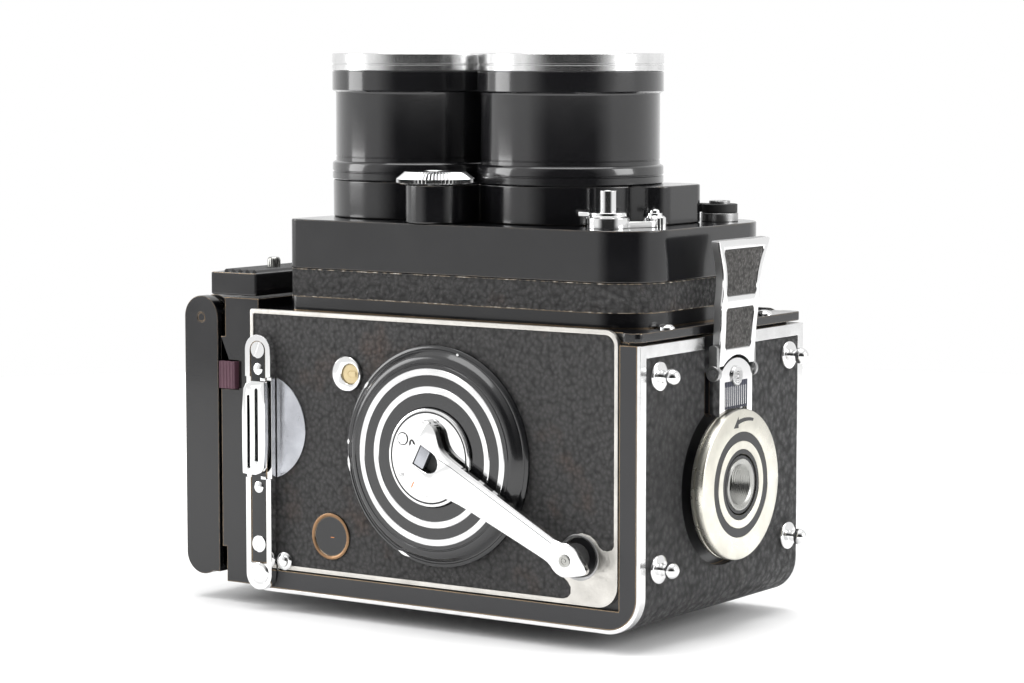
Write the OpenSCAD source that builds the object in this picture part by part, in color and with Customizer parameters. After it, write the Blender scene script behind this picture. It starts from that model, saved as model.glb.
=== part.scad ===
// Twin lens reflex camera lying on its back. Lens axes along +Z, hood at -X,
// bottom plate with the tripod socket at +X, winding crank on the -Y side.
// Origin: where the taking lens axis meets the resting face of the back.

/* [Body] */
// Distance of the bottom plate's outer face from the taking lens axis
bottom_x = 44.65; // [40:0.05:50]
// Distance of the hood end of the body from the taking lens axis
hood_end_x = -71; // [-80:0.5:-60]
// Width of the camera over the leather of both sides
body_width = 76; // [70:0.5:82]
// Height of the back's outer skin above the resting face
back_z = 4.6; // [3:0.1:6]
// Height of the front plate's upper face above the resting face
front_z = 75.4; // [70:0.1:80]
// Wall thickness of the cast body
wall = 2.4; // [1.5:0.1:4]
// Radius of the rounded edge between back and bottom plate
door_corner_radius = 9; // [5:0.5:14]

/* [Lenses] */
// Distance between the taking and the viewing lens axes
axis_distance = 45.8; // [42:0.1:50]
// Outer radius of the taking barrel
taking_radius = 23; // [18:0.1:25]
// Outer radius of the viewing barrel
viewing_radius = 22.4; // [18:0.1:25]
// Height of the barrel rims above the resting face
rim_z = 139.6; // [120:0.1:150]
// Focusing travel of the front
focus_travel = 7.4; // [4:0.1:10]

/* [Front housing] */
// Half width of the enamelled front housing
housing_half_width = 31.7; // [28:0.1:36]
// Height of the housing's upper face above the resting face
housing_z = 98.3; // [90:0.1:105]
// Height of the line between leather and enamel
enamel_z = 86; // [80:0.1:92]
// Radius of the housing's corners
housing_radius = 13; // [4:0.5:16]

/* [Crank] */
// Position of the crank axis along the body
crank_x = -13; // [-20:0.5:0]
// Height of the crank axis above the resting face
crank_z = 42.8; // [35:0.1:50]
// Distance from the crank axis to the crank's knob
crank_reach = 45.8; // [40:0.1:50]
// Direction of the folded crank arm, measured from +X towards -Z
crank_rest_angle = 27; // [0:1:90]

/* [Bottom fittings] */
// Height of the tripod socket above the resting face
socket_z = 36.45; // [30:0.05:40]
// Radius of the bore of the tripod bush
socket_radius = 4.9; // [3:0.05:5]
// Radius of the tripod disc
disc_radius = 18.2; // [14:0.1:20]
// Distance of the feet from the centre plane
foot_y = 30.5; // [20:0.5:34]

/* [Hood] */
// Half width of the hood
hood_half_width = 34.8; // [30:0.1:37]
// Distance of the closed lid's outer face from the taking lens axis
lid_x = -95.4; // [-100:0.1:-90]
// Lowest height of the hood above the resting face
hood_low_z = 5; // [4:0.1:8]
// Highest height of the hood above the resting face
hood_high_z = 78; // [74:0.1:82]

/* [Hidden] */
$fn = 64;
half_width = body_width / 2;
shell_y = half_width - 1.1;
flange_in_y = shell_y + 0.3;
flange_out_y = half_width + 0.3;
viewing_x = -axis_distance;
hinge_x = -66.3;
hinge_z = 8.7;
panel_low_z = 10.6;
panel_high_z = 75.8;
panel_end_x = bottom_x - 6.2;
spool_radius = 12;
take_up_x = -47;
take_up_z = 23;
supply_x = 26.5;
supply_z = 57;
focus_knob_x = -13;
focus_knob_z = 44;
wheel_x = -axis_distance / 2;
wheel_y = 25.2;
latch_axis_z = 63.8;
latch_axis_x = bottom_x + 2;
release_x = 24.2;
release_y = -20.5;
sync_x = 31;
sync_y = 20;
mirror_z = 43;
eps = 0.01;

// Rounded rectangle drawn from circles and squares, so every corner stays a true arc.
module rounded(length, width, radius) {
    square([length - 2 * radius, width], center = true);
    square([length, width - 2 * radius], center = true);
    for (sx = [-1, 1])
        for (sy = [-1, 1])
            translate([sx * (length / 2 - radius), sy * (width / 2 - radius)])
                circle(r = radius);
}

// Rounded block standing on the given height, between two x and two y limits.
module block(x0, x1, y0, y1, z0, z1, radius) {
    translate([(x0 + x1) / 2, (y0 + y1) / 2, z0])
        linear_extrude(z1 - z0)
            rounded(x1 - x0, y1 - y0, radius);
}

// Plain box between two corners.
module box(x0, x1, y0, y1, z0, z1) {
    translate([x0, y0, z0])
        cube([x1 - x0, y1 - y0, z1 - z0]);
}

// Cylinder along Y between two y values.
module rod_y(x, z, y0, y1, radius) {
    translate([x, y1, z])
        rotate([90, 0, 0])
            cylinder(h = y1 - y0, r = radius);
}

// Cylinder along X between two x values.
module rod_x(y, z, x0, x1, radius) {
    translate([x0, y, z])
        rotate([0, 90, 0])
            cylinder(h = x1 - x0, r = radius);
}

// Cylinder along Z between two heights.
module rod_z(x, y, z0, z1, radius) {
    translate([x, y, z0])
        cylinder(h = z1 - z0, r = radius);
}

// Outline drawn in the x-z plane, made into a plate between two y values.
module plate_y(y0, y1) {
    translate([0, y1, 0])
        rotate([90, 0, 0])
            linear_extrude(y1 - y0)
                children();
}

// Outline drawn with x as height and y as width, made into a plate between two x values.
module plate_x(x0, x1) {
    translate([x0, 0, 0])
        rotate([90, 0, 90])
            linear_extrude(x1 - x0)
                children();
}

// The same piece on both sides of the centre plane.
module both_sides() {
    children();
    mirror([0, 1, 0])
        children();
}

// Outline of the front box: small corners at the hood end, large ones at the bottom end.
module front_outline(inset) {
    union() {
        translate([(-64.2 + inset) / 2, 0])
            rounded(64.2 - inset, 2 * (housing_half_width - inset), max(0.6, 3 - inset));
        translate([(40.2 - inset - 40) / 2, 0])
            rounded(80.2 - inset, 2 * (housing_half_width - inset), housing_radius - inset);
    }
}

// Wall or block that follows the outline of the front box.
module front_block(inset, z0, z1) {
    translate([0, 0, z0])
        linear_extrude(z1 - z0)
            front_outline(inset);
}

// ---------- fixed chassis ----------

// Bearings of a spool: a pin on the crank side, a clear bore for the knob's shaft on the other.
module spool_pin(x, z) {
    rod_y(x, z, -shell_y + wall - 0.5, -29, 2.4);
}

module body_shell() {
    color("dimgray")
    difference() {
        union() {
            difference() {
                box(hood_end_x, bottom_x - 4.05, -shell_y, shell_y, 9, 73.1);
                box(hood_end_x + wall, bottom_x, -shell_y + wall, shell_y - wall, 8, 73.1 - wall);
            }
            box(-29.5, 29.5, -shell_y + 1, shell_y - 1, 9.6, 11.4);
            spool_pin(take_up_x, take_up_z);
            spool_pin(supply_x, supply_z);
        }
        box(-28, 28, -28, 28, 9, 12);
        rod_z(0, 0, 60, 80, 22.2);
        rod_z(viewing_x, 0, 60, 80, 21.4);
        box(hood_end_x - 1, hood_end_x + wall + 1, -29, 29, 14, 68);
        rod_y(take_up_x, take_up_z, 20, 40, 3.3);
        rod_y(supply_x, supply_z, 20, 40, 3.3);
        rod_y(focus_knob_x, focus_knob_z, 20, 40, 3.05);
        rod_y(crank_x, crank_z, -40, -20, 4.05);
        both_sides()
            rod_y(hinge_x, hinge_z, 30, 40, 4.4);
        rod_y(hinge_x, hinge_z, -40, 40, 3.6);
        for (x = [-32.2, 32.2])
            rod_y(x, 12.6, -40, 40, 1.05);
    }
}

module front_plate() {
    color("black")
    difference() {
        union() {
            box(hood_end_x, bottom_x - 5, -shell_y, shell_y, 73.15, front_z);
            block(panel_end_x + 0.4, bottom_x - 0.45, -half_width, half_width, 73.15, front_z, 1.5);
        }
        rod_z(0, 0, 70, 80, 22.2);
        rod_z(viewing_x, 0, 70, 80, 21.4);
    }
}

module front_skirt() {
    color("#2a2624")
    difference() {
        front_block(0, front_z + 0.02, enamel_z - 0.1);
        front_block(1.6, front_z - 1, enamel_z + 1);
    }
}

module mirror_plate() {
    color("silver")
    translate([viewing_x, 0, mirror_z])
        rotate([0, 45, 0])
            translate([-0.8, -31, -29])
                cube([1.6, 62, 58]);
}

module ground_glass() {
    color("lightgray")
    box(hood_end_x - 1.6, hood_end_x - 0.1, -31, 31, 12, 70);
}

// Leather panel of one side, with the notch for the door hinge.
module side_panel_outline() {
    difference() {
        translate([(hood_end_x + panel_end_x) / 2, (panel_low_z + panel_high_z) / 2])
            rounded(panel_end_x - hood_end_x, panel_high_z - panel_low_z, 5);
        translate([hinge_x, hinge_z])
            circle(r = 4.5);
    }
}

module crank_side_panel() {
    color("#2b2522")
    difference() {
        plate_y(-half_width, -shell_y - 0.02)
            side_panel_outline();
        rod_y(crank_x, crank_z, -40, -30, 12.3);
        rod_y(-45.8, 20.3, -40, -30, 5.9);
        rod_y(-40.2, 61.2, -40, -30, 4.4);
        box(26.5, 45, -40, -30, 0, 28.6);
    }
}

module knob_side_panel() {
    color("#2b2522")
    difference() {
        plate_y(shell_y + 0.02, half_width)
            side_panel_outline();
        rod_y(take_up_x, take_up_z, 30, 40, 3.3);
        rod_y(supply_x, supply_z, 30, 40, 3.3);
        rod_y(focus_knob_x, focus_knob_z, 30, 40, 3.3);
    }
}

// Thin aluminium line framing each leather panel.
module trim_lines() {
    both_sides()
        difference() {
            plate_y(half_width + 0.02, half_width + 0.3)
                translate([(hood_end_x + panel_end_x) / 2, (panel_low_z + panel_high_z) / 2])
                    rounded(panel_end_x - hood_end_x, panel_high_z - panel_low_z, 5);
            plate_y(half_width - 1, half_width + 1)
                translate([(hood_end_x + panel_end_x) / 2, (panel_low_z + panel_high_z) / 2])
                    rounded(panel_end_x - hood_end_x - 2, panel_high_z - 2 - panel_low_z, 4);
            box(hood_end_x - 1, -50, 0, 50, 0, 30);
            box(22, 45, 0, 50, 0, 30);
        }
}

module corner_plate() {
    difference() {
        plate_y(-half_width - 0.25, -shell_y - 0.02)
            intersection() {
                translate([(26.7 + panel_end_x) / 2, 28.4 - 20])
                    square([panel_end_x - 26.7, 40], center = true);
                translate([panel_end_x - 20, panel_low_z + 20])
                    rounded(40, 40, 6);
            }
        rod_y(27.8, 22, -40, -37.2, 4.4);
    }
}

module side_trims() {
    color("silver")
    union() {
        trim_lines();
        corner_plate();
    }
}

module crank_plate() {
    color("black")
    difference() {
        union() {
            rod_y(crank_x, crank_z, -39.6, -half_width - 0.02, 26.9);
            rod_y(crank_x, crank_z, -41, -39.6, 24.6);
        }
        rod_y(crank_x, crank_z, -50, -30, 12.3);
        for (outer = [21.5, 17.2])
            difference() {
                rod_y(crank_x, crank_z, -42, -40.4, outer + 0.05);
                rod_y(crank_x, crank_z, -43, -40, outer - 1.7);
            }
    }
}

module crank_plate_rings() {
    color("silver")
    for (outer = [21.5, 17.2])
        difference() {
            rod_y(crank_x, crank_z, -41.2, -40.45, outer);
            rod_y(crank_x, crank_z, -42, -40, outer - 1.6);
        }
}

module counter_window() {
    color("black")
    difference() {
        rod_y(-45.8, 20.3, -half_width - 0.25, -shell_y - 0.02, 5.8);
        rod_y(-45.8, 20.3, -40, -half_width - 0.05, 5);
    }
}

module selector_ring() {
    color("silver")
    difference() {
        rod_y(-40.2, 61.2, -half_width - 0.3, -shell_y - 0.02, 4.3);
        rod_y(-40.2, 61.2, -40, -30, 2.75);
    }
}

module selector_plug() {
    color("ivory")
    difference() {
        rod_y(-40.2, 61.2, -half_width - 0.1, -shell_y - 0.1, 2.7);
        box(-40.7, -36.7, -40, -half_width + 0.5, 60.8, 61.6);
    }
}

// Long plate that holds the strap loop and covers the door hinge.
module strap_plate_outline(inset) {
    translate([-66.8, 37.4])
        rounded(8 - 2 * inset, 64.4 - 2 * inset, 3.95 - inset);
}

module strap_plates() {
    color("silver")
    both_sides() {
        rod_y(hinge_x, hinge_z, -39, -33, 1.6);
        difference() {
            union() {
                plate_y(-40.6, -38.6)
                    strap_plate_outline(0);
                box(-69.5, -64.1, -38.6, -38.02, 16, 68);
                for (z = [33.6, 58.3])
                    box(-64.4, -62.8, -42.5, -40.6, z, z + 0.7);
            }
            rod_z(-63.6, -41.7, 30, 62, 0.5);
            plate_y(-41, -40.1)
                strap_plate_outline(1.5);
            box(-75, -60, -42, -40.1, 33.5, 59);
        }
    }
}

module strap_screws() {
    color("silver")
    both_sides() {
        for (z = [65.8, 16.8])
            difference() {
                rod_y(-66.8, z, -40.9, -40.12, 2.1);
                box(-67.05, -66.55, -41, -40.6, z - 3, z + 3);
            }
        for (z = [61, 31.2])
            rod_y(-66.8, z, -40.8, -40.12, 1.5);
        rod_y(-60.2, 12.8, -39.4, -half_width - 0.32, 1.9);
    }
}

module strap_guards() {
    color("silver")
    both_sides()
        difference() {
            rod_y(-66.7, 46.3, -38.35, -half_width - 0.02, 13.2);
            box(-90, -62.6, -40, -30, 20, 70);
        }
}

module strap_loop() {
    difference() {
        union() {
            plate_y(-42.3, -41.1)
                translate([-66.7, 46.3])
                    rounded(7.4, 23.6, 1.6);
            rod_z(-63.6, -41.7, 33.8, 58.8, 0.45);
        }
        for (x = [-68.3, -65.9])
            box(x - 0.6, x + 0.6, -43, -40, 37.2, 55.4);
    }
}

module strap_loop_near() {
    color("silver")
    strap_loop();
}

module strap_loop_far() {
    color("silver")
    mirror([0, 1, 0])
        strap_loop();
}

// ---------- film transport ----------

module spool(x, z) {
    difference() {
        union() {
            rod_y(x, z, -31, -29.8, spool_radius);
            rod_y(x, z, 29.8, 31, spool_radius);
            rod_y(x, z, -31, 31, 5);
        }
        rod_y(x, z, -33, 33, 2.45);
    }
}

module take_up_spool() {
    color("dimgray")
    spool(take_up_x, take_up_z);
}

module supply_spool() {
    color("dimgray")
    spool(supply_x, supply_z);
}

module roller(x) {
    rod_y(x, 12.6, -shell_y + wall + 0.3, shell_y - wall - 0.3, 2.4);
    rod_y(x, 12.6, -shell_y + 0.1, shell_y - 0.1, 1);
}

module upper_roller() {
    color("silver")
    roller(-32.2);
}

module lower_roller() {
    color("silver")
    roller(32.2);
}

// Pull-out knob whose shaft carries one end of a film spool.
module spool_knob(x, z) {
    difference() {
        union() {
            rod_y(x, z, half_width + 0.4, half_width + 2.4, 7.6);
            rod_y(x, z, half_width + 2.4, half_width + 7, 9);
            rod_y(x, z, half_width + 7, half_width + 7.6, 8.2);
            rod_y(x, z, shell_y - wall - 0.2, half_width + 0.5, 3.2);
            rod_y(x, z, 28, shell_y - wall, 2.4);
        }
        rod_y(x, z, half_width + 7.2, half_width + 9, 6.4);
    }
}

module upper_spool_knob() {
    color("silver")
    spool_knob(take_up_x, take_up_z);
}

module lower_spool_knob() {
    color("silver")
    spool_knob(supply_x, supply_z);
}

module focus_knob() {
    color("silver")
    difference() {
        union() {
            rod_y(focus_knob_x, focus_knob_z, half_width + 0.4, half_width + 3.4, 14);
            rod_y(focus_knob_x, focus_knob_z, half_width + 3.4, half_width + 9.4, 16);
            rod_y(focus_knob_x, focus_knob_z, half_width + 9.4, half_width + 10, 14.6);
            rod_y(focus_knob_x, focus_knob_z, 26, half_width + 1, 3);
        }
        rod_y(focus_knob_x, focus_knob_z, half_width + 9.5, half_width + 12, 11);
    }
}

// ---------- focusing front ----------

module front_housing() {
    color("black")
    difference() {
        union() {
            front_block(0, enamel_z, housing_z);
            front_block(1.9, 76.5, enamel_z + 1);
        }
        front_block(3.3, 76, housing_z - 2.2);
        rod_z(0, 0, 90, 100, taking_radius - 7.4);
        rod_z(viewing_x, 0, 90, 100, viewing_radius - 7.4);
        rod_z(release_x, release_y, 90, 100, 2.15);
    }
}

// Figure-eight outline of the shutter cover with its side lobes.
module cover_outline() {
    circle(r = taking_radius - 0.3);
    translate([viewing_x, 0])
        circle(r = viewing_radius - 0.2);
    translate([viewing_x / 2, 0])
        square([axis_distance * 0.6, 34], center = true);
    for (side = [-1, 1])
        translate([wheel_x, side * wheel_y])
            circle(r = 7.3);
    translate([wheel_x, 0])
        square([14.6, 2 * wheel_y], center = true);
    translate([14, 4])
        rounded(33, 22, 5);
}

module shutter_cover() {
    color("black")
    difference() {
        translate([0, 0, housing_z + 0.02])
            linear_extrude(9.4)
                intersection() {
                    cover_outline();
                    translate([-64.2, -50])
                        square([110, 100]);
                }
        rod_z(0, 0, 90, 120, taking_radius - 7.4);
        rod_z(viewing_x, 0, 90, 120, viewing_radius - 7.4);
        for (side = [-1, 1])
            rod_z(wheel_x, side * wheel_y, 104, 112, 2.05);
    }
}

// Barrel of a lens: two flared bands around a narrower neck, bored through.
module barrel(x, radius, seat_z) {
    low = 107.75;
    difference() {
        union() {
            rod_z(x, 0, low, 112.4, radius);
            rod_z(x, 0, 112.4, 130.2, radius - 0.9);
            rod_z(x, 0, 130.2, 135.2, radius);
            rod_z(x, 0, seat_z, low + 1, radius - 7.5);
        }
        rod_z(x, 0, seat_z - 1, 120, radius - 9);
        rod_z(x, 0, 110.5, 140, radius - 4.5);
    }
}

module taking_barrel() {
    color("black")
    barrel(0, taking_radius, 84);
}

module viewing_barrel() {
    color("black")
    barrel(viewing_x, viewing_radius, 84);
}

module bayonet_ring(x, radius) {
    difference() {
        rod_z(x, 0, 135.25, rim_z, radius);
        rod_z(x, 0, 134, 141, radius - 2.6);
        for (turn = [0 : 120 : 359])
            translate([x, 0, 0])
                rotate([0, 0, turn + 30])
                    box(radius - 3.5, radius - 1.4, -4, 4, 137.4, 141);
    }
}

module bayonet_rings() {
    color("silver")
    union() {
        bayonet_ring(0, taking_radius);
        bayonet_ring(viewing_x, viewing_radius);
    }
}

module lens_glass() {
    color("lightblue")
    union() {
        rod_z(0, 0, 126, 132, taking_radius - 4.55);
        rod_z(0, 0, 86, 90, taking_radius - 9.05);
        rod_z(viewing_x, 0, 126, 132, viewing_radius - 4.55);
        rod_z(viewing_x, 0, 86, 90, viewing_radius - 9.05);
    }
}

module shutter_unit() {
    color("gray")
    difference() {
        rod_z(0, 0, 110.6, 118, taking_radius - 4.55);
        rod_z(0, 0, 90, 120, 9);
    }
}

module release_plate() {
    color("silver")
    difference() {
        union() {
            rod_z(release_x, release_y, housing_z + 0.02, 100.8, 5.2);
            translate([0, 0, housing_z + 0.02])
                linear_extrude(1.5)
                    translate([release_x + 3.4, release_y + 5.6])
                        rotate([0, 0, 59])
                            rounded(13, 6, 2.9);
            rod_z(release_x + 6.4, release_y + 10.7, housing_z + 1, 101.6, 1.9);
        }
        rod_z(release_x, release_y, 90, 110, 2.15);
    }
}

module release_lock() {
    color("silver")
    difference() {
        union() {
            rod_z(release_x, release_y, 100.9, 102, 4.6);
            box(release_x - 7.4, release_x - 3, release_y - 1.5, release_y + 1.5, 100.9, 102);
        }
        rod_z(release_x, release_y, 90, 110, 2.15);
    }
}

module release_button() {
    color("silver")
    difference() {
        rod_z(release_x, release_y, 96.2, 107.2, 2.1);
        rod_z(release_x, release_y, 104.2, 108, 1.1);
    }
}

module sync_socket() {
    color("silver")
    difference() {
        union() {
            rod_z(sync_x, sync_y, housing_z + 0.02, 100.4, 4.6);
            rod_z(sync_x, sync_y, 100, 103.4, 2.6);
        }
        rod_z(sync_x, sync_y, 99.6, 104, 1.5);
    }
}

module sync_lock() {
    color("black")
    difference() {
        union() {
            rod_z(sync_x, sync_y, 100.5, 102.6, 4.4);
            box(sync_x - 8, sync_x - 3, sync_y - 1.6, sync_y + 1.6, 100.5, 102.6);
        }
        rod_z(sync_x, sync_y, 98, 104, 2.65);
    }
}

// Knurled setting wheel with a bevelled edge, on a short shaft.
module setting_wheel(side) {
    union() {
        difference() {
            rod_z(wheel_x, side * wheel_y, 107.9, 110.2, 9.6);
            for (turn = [0 : 12 : 359])
                translate([wheel_x, side * wheel_y, 0])
                    rotate([0, 0, turn])
                        box(9.2, 10, -0.3, 0.3, 107, 111);
        }
        rod_z(wheel_x, side * wheel_y, 110, 110.9, 7.6);
        rod_z(wheel_x, side * wheel_y, 104.2, 108, 2);
    }
}

module aperture_wheel() {
    color("silver")
    setting_wheel(-1);
}

module shutter_wheel() {
    color("silver")
    setting_wheel(1);
}

// ---------- crank, drawn with its arm along +X from the crank axis ----------

// Turns a crank piece from the drawing position to its place on the camera.
module crank_place() {
    translate([crank_x, 0, crank_z])
        rotate([0, crank_rest_angle, 0])
            children();
}

module crank_hub() {
    color("silver")
    crank_place()
        difference() {
            union() {
                rod_y(0, 0, -42, -37.4, 12);
                rod_y(0, 0, -38, -22, 4);
                for (side = [-1, 1]) {
                    rod_z(-3, -43.6, side * 7.3 - 1, side * 7.3 + 1, 1.5);
                    box(-4.5, -1.5, -43.6, -41.5, side * 7.3 - 1, side * 7.3 + 1);
                }
                rod_z(-3, -43.6, -8, 8, 0.6);
                rod_y(-8, 4, -42.3, -41.5, 1.5);
            }
            difference() {
                rod_y(0, 0, -43, -41.7, 11.2);
                rod_y(0, 0, -44, -41, 10.8);
            }
        }
}

module crank_arm() {
    color("silver")
    crank_place()
        difference() {
            union() {
                plate_y(-44.4, -43)
                    polygon([[-3, -6], [5, -6], [14, -4.6], [crank_reach - 4, -3.4],
                        [crank_reach + 3, -3.4], [crank_reach + 6.6, 0.6], [crank_reach + 3, 3.4],
                        [crank_reach - 4, 3.4], [14, 4.6], [5, 6], [-3, 6]]);
                rod_y(crank_reach, 0, -44.4, -43, 4.2);
                rod_z(-3, -43.6, -6, 6, 1.5);
            }
            rod_y(crank_reach, 0, -46, -42, 1.25);
            rod_z(-3, -43.6, -10, 10, 0.65);
        }
}

module crank_knob() {
    color("black")
    crank_place()
        union() {
            difference() {
                rod_y(crank_reach, 0, -42.7, -38.65, 3.6);
                for (turn = [0 : 24 : 359])
                    translate([crank_reach, 0, 0])
                        rotate([0, turn, 0])
                            box(3.3, 4, -42.2, -39.1, -0.25, 0.25);
            }
            rod_y(crank_reach, 0, -44.7, -42, 1.2);
            rod_y(crank_reach, 0, -45, -44.65, 2);
        }
}

// ---------- back door with the bottom plate ----------

// L-shaped outline of the door seen from the side, moved inwards by the inset.
module door_outline(inset) {
    difference() {
        translate([(hinge_x + bottom_x - inset) / 2, (back_z + inset + 72.5) / 2])
            rounded(bottom_x - inset - hinge_x, 72.5 - back_z - inset, door_corner_radius - inset);
        translate([hinge_x - 1, hinge_z + 1.5])
            square([panel_end_x + 0.45 - hinge_x + 1, 80]);
    }
    translate([hinge_x, back_z + inset])
        square([12, hinge_z + 1.5 - back_z - inset]);
    translate([panel_end_x + 0.45, 60])
        square([bottom_x - inset - panel_end_x - 0.45, 12.5]);
    translate([hinge_x, hinge_z])
        circle(r = hinge_z - back_z - inset);
}

// Space inside the door: everything in front of the back and behind the bottom plate.
module door_room() {
    box(hinge_x - 20, bottom_x - 3.75, -flange_in_y, flange_in_y, hinge_z - 0.1, 90);
}

// Channel and round recess for the latch and the tripod disc.
module latch_recess(floor_x) {
    box(floor_x, 60, -9.6, 9.6, socket_z, 80);
    rod_x(0, socket_z, floor_x, 60, disc_radius + 1.6);
}

module back_door() {
    color("black")
    difference() {
        union() {
            plate_y(-flange_out_y, flange_out_y)
                door_outline(1);
            block(-25, 17, -17, 17, 0.9, 8, 8);
        }
        door_room();
        block(-31, 31, -28, 28, 5.9, 20, 4);
        block(-22, 14, -14, 14, 2.4, 20, 4);
        latch_recess(42.3);
        rod_x(0, socket_z, 30, 60, 7.25);
        rod_y(hinge_x, hinge_z, -50, 50, 1.65);
        for (y = [-foot_y, foot_y])
            for (z = [19.75, 65])
                rod_x(y, z, 30, 60, 1.25);
    }
}

// Skin of the given depth over the outside of the door.
module door_skin(y0, y1) {
    difference() {
        plate_y(y0, y1)
            door_outline(0);
        plate_y(y0 - 1, y1 + 1)
            door_outline(0.98);
        door_room();
    }
}

module door_leather() {
    color("#1e1c1c")
    difference() {
        union() {
            intersection() {
                door_skin(-35.6, 35.6);
                box(-64, 60, -36, 36, 0, 69.4);
            }
            block(-26, 18, -18, 18, 0, back_z, 9);
        }
        block(-25.02, 17.02, -17.02, 17.02, 0.88, 20, 8);
        box(-64.5, panel_end_x, -50, 50, hinge_z, 90);
        latch_recess(40);
        for (y = [-foot_y, foot_y])
            for (z = [19.75, 65])
                rod_x(y, z, 30, 60, 1.25);
    }
}

module door_rim() {
    color("silver")
    difference() {
        door_skin(-flange_out_y, flange_out_y);
        box(-80, 60, -35.65, 35.65, 0, 69.5);
        latch_recess(40);
    }
}

module feet() {
    color("silver")
    for (y = [-foot_y, foot_y])
        for (z = [19.75, 65])
            union() {
                rod_x(y, z, bottom_x + 0.02, bottom_x + 1.2, 3.5);
                rod_x(y, z, bottom_x - 3.6, bottom_x + 3, 1.2);
                translate([bottom_x + 3.7, y, z])
                    sphere(r = 2);
            }
}

module tripod_bush() {
    color("silver")
    difference() {
        union() {
            rod_x(0, socket_z, bottom_x - 5, bottom_x + 4.7, 7.2);
            rod_x(0, socket_z, 42.35, bottom_x + 1, 9);
        }
        rod_x(0, socket_z, 30, 60, socket_radius);
    }
}

module tripod_disc() {
    color("silver")
    difference() {
        rod_x(0, socket_z, bottom_x + 1.25, bottom_x + 4.7, disc_radius);
        rod_x(0, socket_z, 40, 60, 7.28);
        for (outer = [0.7, 0.464])
            difference() {
                rod_x(0, socket_z, bottom_x + 4.4, 60, disc_radius * outer);
                rod_x(0, socket_z, 40, 61, disc_radius * (outer - 0.12));
            }
    }
}

module latch_bar() {
    color("silver")
    union() {
        latch_bar_frame();
        for (step = [-5 : 5])
            box(bottom_x + 2.3, bottom_x + 3.0, step * 0.9 - 0.3, step * 0.9 + 0.3, 55.5, 60.2);
        rod_x(0, 62.8, bottom_x + 2, bottom_x + 3.6, 2.3);
        rod_y(latch_axis_x, latch_axis_z, -9.3, 9.3, 1);
    }
}

module latch_bar_frame() {
    difference() {
        intersection() {
            union() {
                box(42.35, bottom_x + 3.05, -7.65, 7.65, 50, 63.8);
                rod_x(0, 57.8, 42.35, bottom_x + 3.05, 9.2);
            }
            box(40, 60, -7.65, 7.65, 50, 70);
        }
        rod_x(0, socket_z, 40, 60, disc_radius + 0.3);
        box(bottom_x + 2.4, 60, -5.2, 5.2, 40, 61.5);
    }
}

// Half width of the latch lever, as an outline from its axis to its flared end.
module lever_outline() {
    difference() {
        union() {
            polygon([[-8.2, 65], [-8.2, 81], [-8.9, 85], [-10, 89], [-12, 95.2], [-11.4, 95.6],
                [11.4, 95.6], [12, 95.2], [10, 89], [8.9, 85], [8.2, 81], [8.2, 65]]);
        }
        translate([0, 57.6])
            circle(r = 9.8);
    }
}

module latch_lever() {
    color("silver")
    difference() {
        union() {
            plate_x(bottom_x + 0.8, bottom_x + 3.6)
                lever_outline();
            plate_x(bottom_x + 3.5, bottom_x + 5.4)
                intersection() {
                    lever_outline();
                    translate([0, 93])
                        square([40, 12], center = true);
                }
            for (side = [-1, 1]) {
                box(bottom_x + 0.8, bottom_x + 3.2, side * 8.7 - 0.6, side * 8.7 + 0.6, 63.8, 72);
                rod_y(latch_axis_x, latch_axis_z, side * 8.7 - 0.6, side * 8.7 + 0.6, 1.9);
            }
        }
        rod_y(latch_axis_x, latch_axis_z, -20, 20, 1.05);
        rod_y(latch_axis_x, latch_axis_z, -8, 8, 3.7);
    }
}

module pressure_plate() {
    color("dimgray")
    difference() {
        block(-30, 30, -27, 27, 7.2, 9.2, 3);
        box(-20, 20, -4, 4, 8.8, 10);
    }
}

// ---------- hood ----------

lid_axis_x = lid_x + 5.5;
lid_axis_z = hood_high_z - 5.5;
lid_in_y = hood_half_width - 1.6;
leaf_y = 31.4;
leaf_near_x = -84.6;
leaf_far_x = -85.7;
leaf_rear_x = -86.8;
leaf_low_z = 12;
leaf_high_z = 62.5;
leaf_reach = 27;
rear_leaf_reach = 15;

module hood_base() {
    color("black")
    difference() {
        union() {
            box(-82, hood_end_x - 0.05, -hood_half_width, hood_half_width, hood_low_z, hood_high_z);
            box(-83.4, -81.9, -hood_half_width, hood_half_width, 14, 68);
            for (side = [-1, 1]) {
                box(lid_axis_x, -81.9, side * 30.4 - 0.9, side * 30.4 + 0.9, lid_axis_z - 2, lid_axis_z + 2);
                rod_y(lid_axis_x, lid_axis_z, side * 30.4 - 0.9, side * 30.4 + 0.9, 2);
                rod_y(lid_axis_x, lid_axis_z, side * 32.4 - 2.3, side * 32.4 + 2.3, 1.2);
            }
            both_sides() {
                for (z = [16, 58])
                    box(leaf_far_x - 0.4, -83, -33.1, -32, z, z + 2);
            }
        }
        box(-90, -78, -28.5, 28.5, 12, 68);
        box(-76, hood_end_x + 1, -31.2, 31.2, 11.9, 70.1);
        box(-79, -75, -28, 28, 13, 68);
        box(-83.2, -77.6, -40, -hood_half_width + 2.6, 54.6, 62);
    }
}

module hood_button() {
    color("#5a3a44")
    union() {
        box(-83, -77.8, -hood_half_width - 1.5, -hood_half_width + 1.2, 54.8, 61.8);
    }
}

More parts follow.
